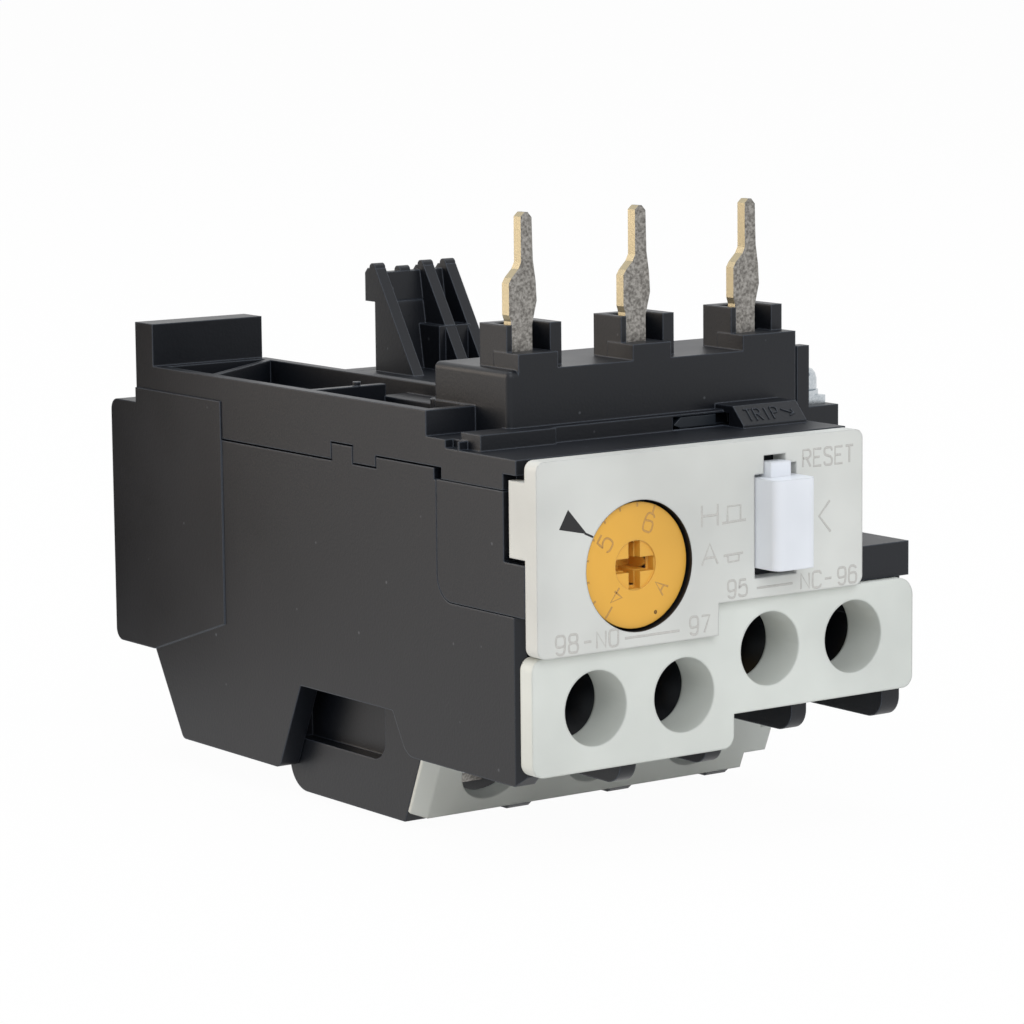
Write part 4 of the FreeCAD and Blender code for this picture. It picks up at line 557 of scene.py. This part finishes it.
def screw_mesh(radius, head, shank, length, pitch):
    """Pan-head screw with a cross and slot; the top of the head is at height 0."""
    shape = bmesh.new()
    lathe(shape, [(0, 0), (0.55 * radius, -0.01 * head), (0.80 * radius, -0.10 * head),
                  (0.93 * radius, -0.26 * head), (radius, -0.50 * head), (radius, -0.93 * head),
                  (0.96 * radius, -head), (0, -head)])
    bmesh.ops.recalc_face_normals(shape, faces=shape.faces)
    drive = cross_cutter(arm=0.58 * radius, half=0.13 * radius, depth=0.62 * head, slot=0.14 * radius)
    carved = cut(mesh_from(shape, "pan_head"), drive, broken=0.05 * MM)
    shape = bmesh.new()
    shape.from_mesh(carved)
    end = -length + POINT
    thread(shape, shank, -head, end, pitch)
    lathe(shape, [(shank * CORE, -head), (shank * CORE, end), (shank * TIP, -length), (0, -length)], 24)
    shape.to_mesh(carved)
    shape.free()
    return carved


print("blunt point in mm:", POINT / MM)

# %% All screws
def show(name, mesh, finish, body, *stands_for):
    """Links a mesh as a piece with its finish, lets it ride on a body and replace CAD nodes."""
    piece = placed(name, mesh)
    mesh.materials.clear()
    mesh.materials.append(finish)
    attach(piece, body)
    if stands_for:
        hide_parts(*stands_for)
    return piece


def screw_set(name, found, pitch, node):
    """All screws of one CAD node as one piece."""
    _, radius, head, shank, length = found[0]
    pattern = screw_mesh(radius, head, shank, length, pitch)
    shape = bmesh.new()
    for place, *_ in found:
        copy = pattern.copy()
        copy.transform(place)
        shape.from_mesh(copy)
    mesh = mesh_from(shape, name)
    for face in mesh.polygons:
        face.use_smooth = True
    mesh.set_sharp_from_angle(angle=math.radians(32))
    piece = show(name, mesh, finishes["zinc_steel"], "base", node)
    print(name, "faces:", len(mesh.polygons))


for name, node, _, pitch in SCREWS:
    screw_set(name, SEATS[node], pitch * MM, node)

# %% [markdown]
# ## Lettering
# The function marks are burnt in by a laser, which draws each letter with single strokes of one
# width. A font would give strokes of changing width and closed shapes, so each letter is a short
# list of strokes on a grid 4 wide and 6 high. Round letters use NURBS splines, the others straight
# ones. Each curve is turned to a mesh and flattened to a film on the face of the cover. Only marks
# of function are written: terminal numbers, contact kinds, the reset with H for by hand and A for
# automatic, the tripped state, and the amperes on the dial.

# %% Stroke letters
STROKES = {
    "A": [[(0, 0), (2, 6), (4, 0)], [(0.7, 2), (3.3, 2)]],
    "C": [[(4, 4.9), (4, 6), (2, 6.2), (0, 6), (0, 3), (0, 0), (2, -0.2), (4, 0), (4, 1.1)]],
    "E": [[(4, 6), (0, 6), (0, 0), (4, 0)], [(0, 3.1), (3.2, 3.1)]],
    "H": [[(0, 0), (0, 6)], [(4, 0), (4, 6)], [(0, 3), (4, 3)]],
    "I": [[(2, 0), (2, 6)]],
    "N": [[(0, 0), (0, 6), (4, 0), (4, 6)]],
    "O": [[(2, 0), (4, 0), (4, 3), (4, 6), (2, 6), (0, 6), (0, 3), (0, 0), (2, 0)]],
    "P": [[(0, 0), (0, 6), (3, 6), (4, 5.2), (4, 3.9), (3, 3.1), (0, 3.1)]],
    "R": [[(0, 0), (0, 6), (3, 6), (4, 5.2), (4, 3.9), (3, 3.1), (0, 3.1)], [(2, 3.1), (4, 0)]],
    "S": [[(4, 4.8), (3.9, 6), (2, 6.1), (0, 6), (0, 3.6), (2, 3.1), (4, 2.6), (4, 0), (2, -0.1),
           (0.1, 0), (0, 1.2)]],
    "T": [[(0, 6), (4, 6)], [(2, 6), (2, 0)]],
    "4": [[(3, 0), (3, 6), (0, 2), (4, 2)]],
    "5": [[(3.7, 6), (0.5, 6), (0.5, 6), (0.2, 3.2), (0.2, 3.2), (2, 4.3), (4.2, 3.6), (4.2, 0.2),
           (2, -0.2), (0, 0.2), (0, 1)]],
    "6": [[(3.8, 5.2), (3.4, 6.2), (0.6, 6.4), (0, 4), (0, 0), (2, -0.2), (4, 0), (4, 3.6), (2, 3.8),
           (0.5, 3.4)]],
    "7": [[(0, 6), (4, 6), (1.4, 0)]],
    "8": [[(2, 3.2), (0.2, 3.2), (0.2, 6), (2, 6.1), (3.8, 6), (3.8, 3.2), (2, 3.2)],
          [(2, 3.2), (0, 3.2), (0, 0), (2, -0.1), (4, 0), (4, 3.2), (2, 3.2)]],
    "9": [[(0.2, 0.8), (0.6, -0.2), (3.4, -0.4), (4, 2), (4, 6), (2, 6.2), (0, 6), (0, 2.4), (2, 2.2),
           (3.5, 2.6)]],
}
ROUND = set("CO5689S")
print("letters:", "".join(sorted(STROKES)))

# %% Words from strokes
GRID_WIDE, GRID_HIGH = 4, 6
LETTER_STEP, LETTER_GAP = 1.42, 0.42    # from letter to letter, and the gap in it, in letter widths


def written(text, left, base, high, wide):
    """Strokes of a word in mm, each with a flag for round ones; wide is the width of the whole word."""
    step = wide / (len(text) * LETTER_STEP - LETTER_GAP)
    strokes = []
    for index, letter in enumerate(text):
        for stroke in STROKES[letter]:
            points = [(left + (index * LETTER_STEP + u / GRID_WIDE) * step, base + v / GRID_HIGH * high)
                      for u, v in stroke]
            strokes.append((letter in ROUND, points))
    return strokes


print("RESET takes", len(written("RESET", 0, 0, GRID_HIGH, 5 * GRID_WIDE)), "strokes")

# %% Film of strokes
FILM_STEP = 0.002                       # mm between the heights of crossing strokes


def film(name, strokes, line, lift, place):
    """Mesh of strokes of one line width, flattened to a film lift thick, set in place; all in mm."""
    joined = bmesh.new()
    for index, (is_round, points) in enumerate(strokes):
        curve = bpy.data.curves.new(name, "CURVE")
        curve.dimensions, curve.bevel_depth, curve.bevel_resolution = "3D", line / 2 * MM, 2
        curve.use_fill_caps, curve.resolution_u = True, 6
        spline = curve.splines.new("NURBS" if is_round else "POLY")
        spline.points.add(len(points) - 1)
        for point, (u, v) in zip(spline.points, points):
            point.co = (u * MM, v * MM, 0, 1)
        if is_round:
            spline.order_u, spline.use_endpoint_u = 3, True
        holder = placed(name + "_curve", curve)
        mesh = bpy.data.meshes.new_from_object(holder.evaluated_get(bpy.context.evaluated_depsgraph_get()))
        bpy.data.objects.remove(holder)
        # Crossing strokes take three heights in turn, so no two tops share a plane and flicker.
        height = (lift + FILM_STEP * (index % 3)) * MM
        for vert in mesh.vertices:
            vert.co.z = height if vert.co.z > 0.01 * line * MM else 0.0
        joined.from_mesh(mesh)
        bpy.data.meshes.remove(mesh)
    joined.transform(place)
    return mesh_from(joined, name)


print("crossing strokes differ in height by", FILM_STEP, "mm")

# %% Laser marks
LASER_DOT = 0.1                         # mm from dot to dot


def laser_mark(name, light, dark):
    """Mark in two close tones, uneven because a laser works in rows of dots; print has it fainter."""
    finish, tree, shader = new_finish(name)
    place = add(tree, "TexCoord")
    dots = add(tree, "TexVoronoi", {"Vector": (place, "Object"), "Scale": per_metre(LASER_DOT)})
    tone = add(tree, "Mix", {0: (dots, "Distance"), 6: linear(dark), 7: linear(light)}, data_type="RGBA")
    tree.links.new(tone.outputs[2], shader.inputs["Base Color"])
    shader.inputs["Roughness"].default_value = 0.6
    return finish


# Polycarbonate turned grey by the laser: a little darker and duller than the cover, never black.
grey_mark = laser_mark("laser_grey", "#c9c7c2", "#b4b2ad")
# Pad-printed ink: flat black without gloss.
black_mark = laser_mark("printed_black", "#151518", "#0e0e10")
# Acetal scorched by the laser: brown, close to the dial's own orange.
brown_mark = laser_mark("laser_brown", "#cb9b52", "#b5874a")
print("marks:", [mark.name for mark in (grey_mark, black_mark, brown_mark)])

# %% Marks on the cover
MARK_LINE, MARK_LIFT = 0.23, 0.012      # width and height of the marks, in mm


def facing_front(x, y, z):
    """Matrix that stands a drawing upright at a place; its own Z then points at the reader."""
    return Matrix(((1, 0, 0, x), (0, 0, -1, y), (0, 1, 0, z), (0, 0, 0, 1)))


cover_low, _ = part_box("front_cover")
# Film coordinates run right and up in mm from the lower left corner of the cover.
on_cover = facing_front(cover_low.x, cover_low.y, cover_low.z)
marks = (
    written("RESET", 30.64, 14.75, 1.6, 6.1) + written("H", 18.66, 10.25, 2.0, 1.85)
    + written("A", 18.65, 6.70, 1.95, 1.85)
    + written("95", 21.69, 3.42, 1.5, 2.2) + written("NC", 30.41, 3.30, 1.45, 2.4)
    + written("96", 34.92, 3.32, 1.5, 2.25) + written("98", 2.01, 0.33, 1.6, 2.45)
    + written("NO", 6.59, 0.38, 1.5, 2.4) + written("97", 17.23, 0.48, 1.55, 2.3)
    + [(False, line) for line in (
        [(21.0, 10.40), (23.8, 10.50)], [(21.65, 10.40), (21.65, 11.90), (23.2, 11.90), (23.2, 10.45)],
        [(21.2, 7.35), (23.45, 7.45)], [(21.65, 7.35), (21.75, 6.70), (22.95, 6.78), (23.0, 7.42)],
        [(25.1, 3.95), (29.4, 3.97)], [(33.3, 4.0), (34.1, 4.0)], [(5.15, 1.1), (5.95, 1.1)],
        [(9.75, 0.95), (16.0, 0.97)], [(33.9, 11.35), (32.6, 9.98), (34.0, 8.4)])])
show("cover_marks", film("cover_marks", marks, MARK_LINE, MARK_LIFT, on_cover), grey_mark, "base")
print("strokes on the cover:", len(marks))

# %% Black pointer beside the dial
INK_LIFT = 0.014                        # mm, just over the line that leads to the dial
pointer = bmesh.new()
tip_line = film("pointer_line", [(False, [(5.3, 10.98), (6.25, 10.55)])], 0.20, MARK_LIFT, on_cover)
pointer.from_mesh(tip_line)
corners = [(3.47, 13.27), (2.46, 11.56), (5.56, 10.90)]
bottom, top = [[pointer.verts.new(on_cover @ Vector((u * MM, v * MM, lift * MM))) for u, v in corners]
               for lift in (0.0, INK_LIFT)]
pointer.faces.new(top)
pointer.faces.new(bottom[::-1])
for i in range(3):
    j = (i + 1) % 3
    pointer.faces.new((bottom[i], bottom[j], top[j], top[i]))
pointer_mesh = mesh_from(pointer, "dial_pointer")
show("dial_pointer", pointer_mesh, black_mark, "base")
print("pointer faces:", len(pointer_mesh.polygons))

# %% [markdown]
# ## Dial
# The dial's scale turns with it, so its numbers ride on the dial's body and not on the cover. Each
# number stands on a radius with its top outwards, and the A for amperes with its top inwards. A thin
# black film lines the window round the disc and paints the shade in the gap.

# %% Driver cross of the dial
# The CAD cross stops in the disc. The real one goes on into the shaft and narrows as it goes.
axis = Vector(next(j for j in frame["joints"] if j["name"] == "dial_turn")["pos_m"])
dial_low, dial_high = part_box("adjusting_dial")
disc_radius = (dial_high.x - dial_low.x) / 2 / MM
on_dial = facing_front(axis.x, dial_low.y, axis.z)

disc = bmesh.new()
disc.from_mesh(NODES["adjusting_dial"].data)
bmesh.ops.remove_doubles(disc, verts=disc.verts, dist=0.001 * MM)
driver = cross_cutter(arm=2.2 * MM, half=0.66 * MM, depth=3.4 * MM)
dial_mesh = cut(mesh_from(disc, "setting_dial"), driver, on_dial)
dial = show("setting_dial", dial_mesh, finishes["dial_orange"], "adjusting_dial", "adjusting_dial")
print("dial faces:", len(dial_mesh.polygons))

# %% Scale of the dial
FIRST_LINE, LINE_STEP, LINES = 67, 20.7, 9        # degrees, degrees, count
LONG_LINES, SHORT_LINE = {0: 4.85, 8: 4.45}, 5.35  # radius in mm where the end lines and the others start
RIM = 0.1                                         # mm between the lines and the edge of the disc
SCALE_LINE = 0.20                                 # mm


def round_the_dial(text, angle, radius, high, inwards=False):
    """A number on the dial at an angle, its top outwards or inwards; mm and degrees."""
    turn = math.radians(angle)
    outwards = Vector((math.cos(turn), math.sin(turn)))
    centre = outwards * radius
    top = outwards * (-1 if inwards else 1)
    side = Vector((top.y, -top.x))
    wide = high * 0.66
    strokes = []
    for is_round, points in written(text, -wide / 2, -high / 2, high, wide):
        strokes.append((is_round, [tuple(centre + side * u + top * v) for u, v in points]))
    return strokes


scale = (round_the_dial("6", 68, 4.05, 1.6) + round_the_dial("5", 146, 4.15, 1.6)
         + round_the_dial("4", 231, 3.45, 1.6) + round_the_dial("A", -38.5, 3.6, 1.5, inwards=True))
for step in range(LINES):
    angle = math.radians(FIRST_LINE + LINE_STEP * step)
    ends = LONG_LINES.get(step, SHORT_LINE), disc_radius - RIM
    scale.append((False, [(r * math.cos(angle), r * math.sin(angle)) for r in ends]))
show("dial_scale", film("dial_scale", scale, SCALE_LINE, MARK_LIFT, on_dial), brown_mark, "adjusting_dial")
print("dial radius in mm:", round(disc_radius, 2), "strokes on the dial:", len(scale))

# %% Dot on the dial
DOT_X, DOT_Y, DOT_RADIUS = 2.24, -4.54, 0.12      # mm from the dial's axis
ring = [(True, [(DOT_X + DOT_RADIUS * math.cos(a), DOT_Y + DOT_RADIUS * math.sin(a))
                for a in (math.tau * i / 8 for i in range(9))])]
# A small dent in the acetal, drawn as painted shade: a flat brown film stands in for its shadow.
dent_painted_shade = laser_mark("dent_painted_shade", "#7d5a24", "#6b4a1c")
show("dial_dot", film("dial_dot", ring, 0.16, 0.010, on_dial), dent_painted_shade, "adjusting_dial")
print("dot is", round(math.hypot(DOT_X, DOT_Y), 2), "mm from the axis")

# %% Painted shade in the dial's window
DIAL_WINDOW_GAP, SHADE_FILM_THICK = 0.24, 0.02       # mm from the disc to the window, and thickness of the black film that paints shade on the window wall
SHADE_FILM_FRONT, SHADE_FILM_BACK = -0.02, -1.7     # mm below the face of the cover
window_radius = disc_radius + DIAL_WINDOW_GAP
window_shade_radius = window_radius - SHADE_FILM_THICK
# A black film lines the wall of the dial's window, so the gap round the disc shows as painted shade.
window_shade = bmesh.new()
profile = [(window_radius, SHADE_FILM_FRONT), (window_radius, SHADE_FILM_BACK), (window_shade_radius, SHADE_FILM_BACK),
           (window_shade_radius, SHADE_FILM_FRONT), (window_radius, SHADE_FILM_FRONT)]
lathe(window_shade, [(r * MM, h * MM) for r, h in profile], 96)
bmesh.ops.transform(window_shade, matrix=facing_front(axis.x, cover_low.y, axis.z), verts=window_shade.verts)
bmesh.ops.remove_doubles(window_shade, verts=window_shade.verts, dist=0.0005 * MM)
bmesh.ops.recalc_face_normals(window_shade, faces=window_shade.faces)
show("dial_window_shade", mesh_from(window_shade, "dial_window_shade"), finishes["case_black"], "base")
print("trim radius in mm:", round(window_radius, 2))

# %% [markdown]
# ## Raised word on the trip wedge
# The mould engraves the word for the tripped state, with a small arrow, so it stands up from the
# slanted face in the same black plastic. The place and slope of that face are asked of the CAD
# mesh with a ray, so the word lies on it whatever the slope.

# %% Trip word
WORD_RIGHT, WORD_BACK = 32.0 * MM, 8.4 * MM       # from the lower left front corner of the cover
WORD_LINE, WORD_LIFT = 0.16, 0.09                 # mm
housing = NODES["upper_housing"]
_, block_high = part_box("upper_housing")
start = Vector((cover_low.x + WORD_RIGHT, cover_low.y + WORD_BACK, block_high.z + MM))
hit, spot, slope, _ = housing.ray_cast(start, Vector((0, 0, -1)))
print("wedge hit:", hit, [round(c / MM, 2) for c in spot], "slope:", [round(c, 2) for c in slope])
across = Vector((1, 0, 0))
uphill = slope.cross(across)
on_wedge = Matrix((across, uphill, slope)).transposed().to_4x4()
on_wedge.translation = spot
arrow = [(False, [(3.0, 0.3), (4.3, -0.35)]), (False, [(3.75, -0.5), (4.3, -0.35), (4.15, 0.2)])]
word = film("trip_word", written("TRIP", -1.4, -0.72, 1.35, 3.9) + arrow, WORD_LINE, WORD_LIFT, on_wedge)
show("trip_word", word, finishes["case_black"], "base")

# %% [markdown]
# ## Reset spring
# The button's foot runs onto the spring, whose rear end stands still. A piece can't ride on two
# bodies, so a copy of the spring's mesh rides on the base, with mesh data of its own.

# %% Reset spring
coil_mesh = NODES["reset_spring"].data.copy()
coil = show("reset_coil", coil_mesh, finishes["spring_steel"], "base", "reset_spring")
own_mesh(coil)
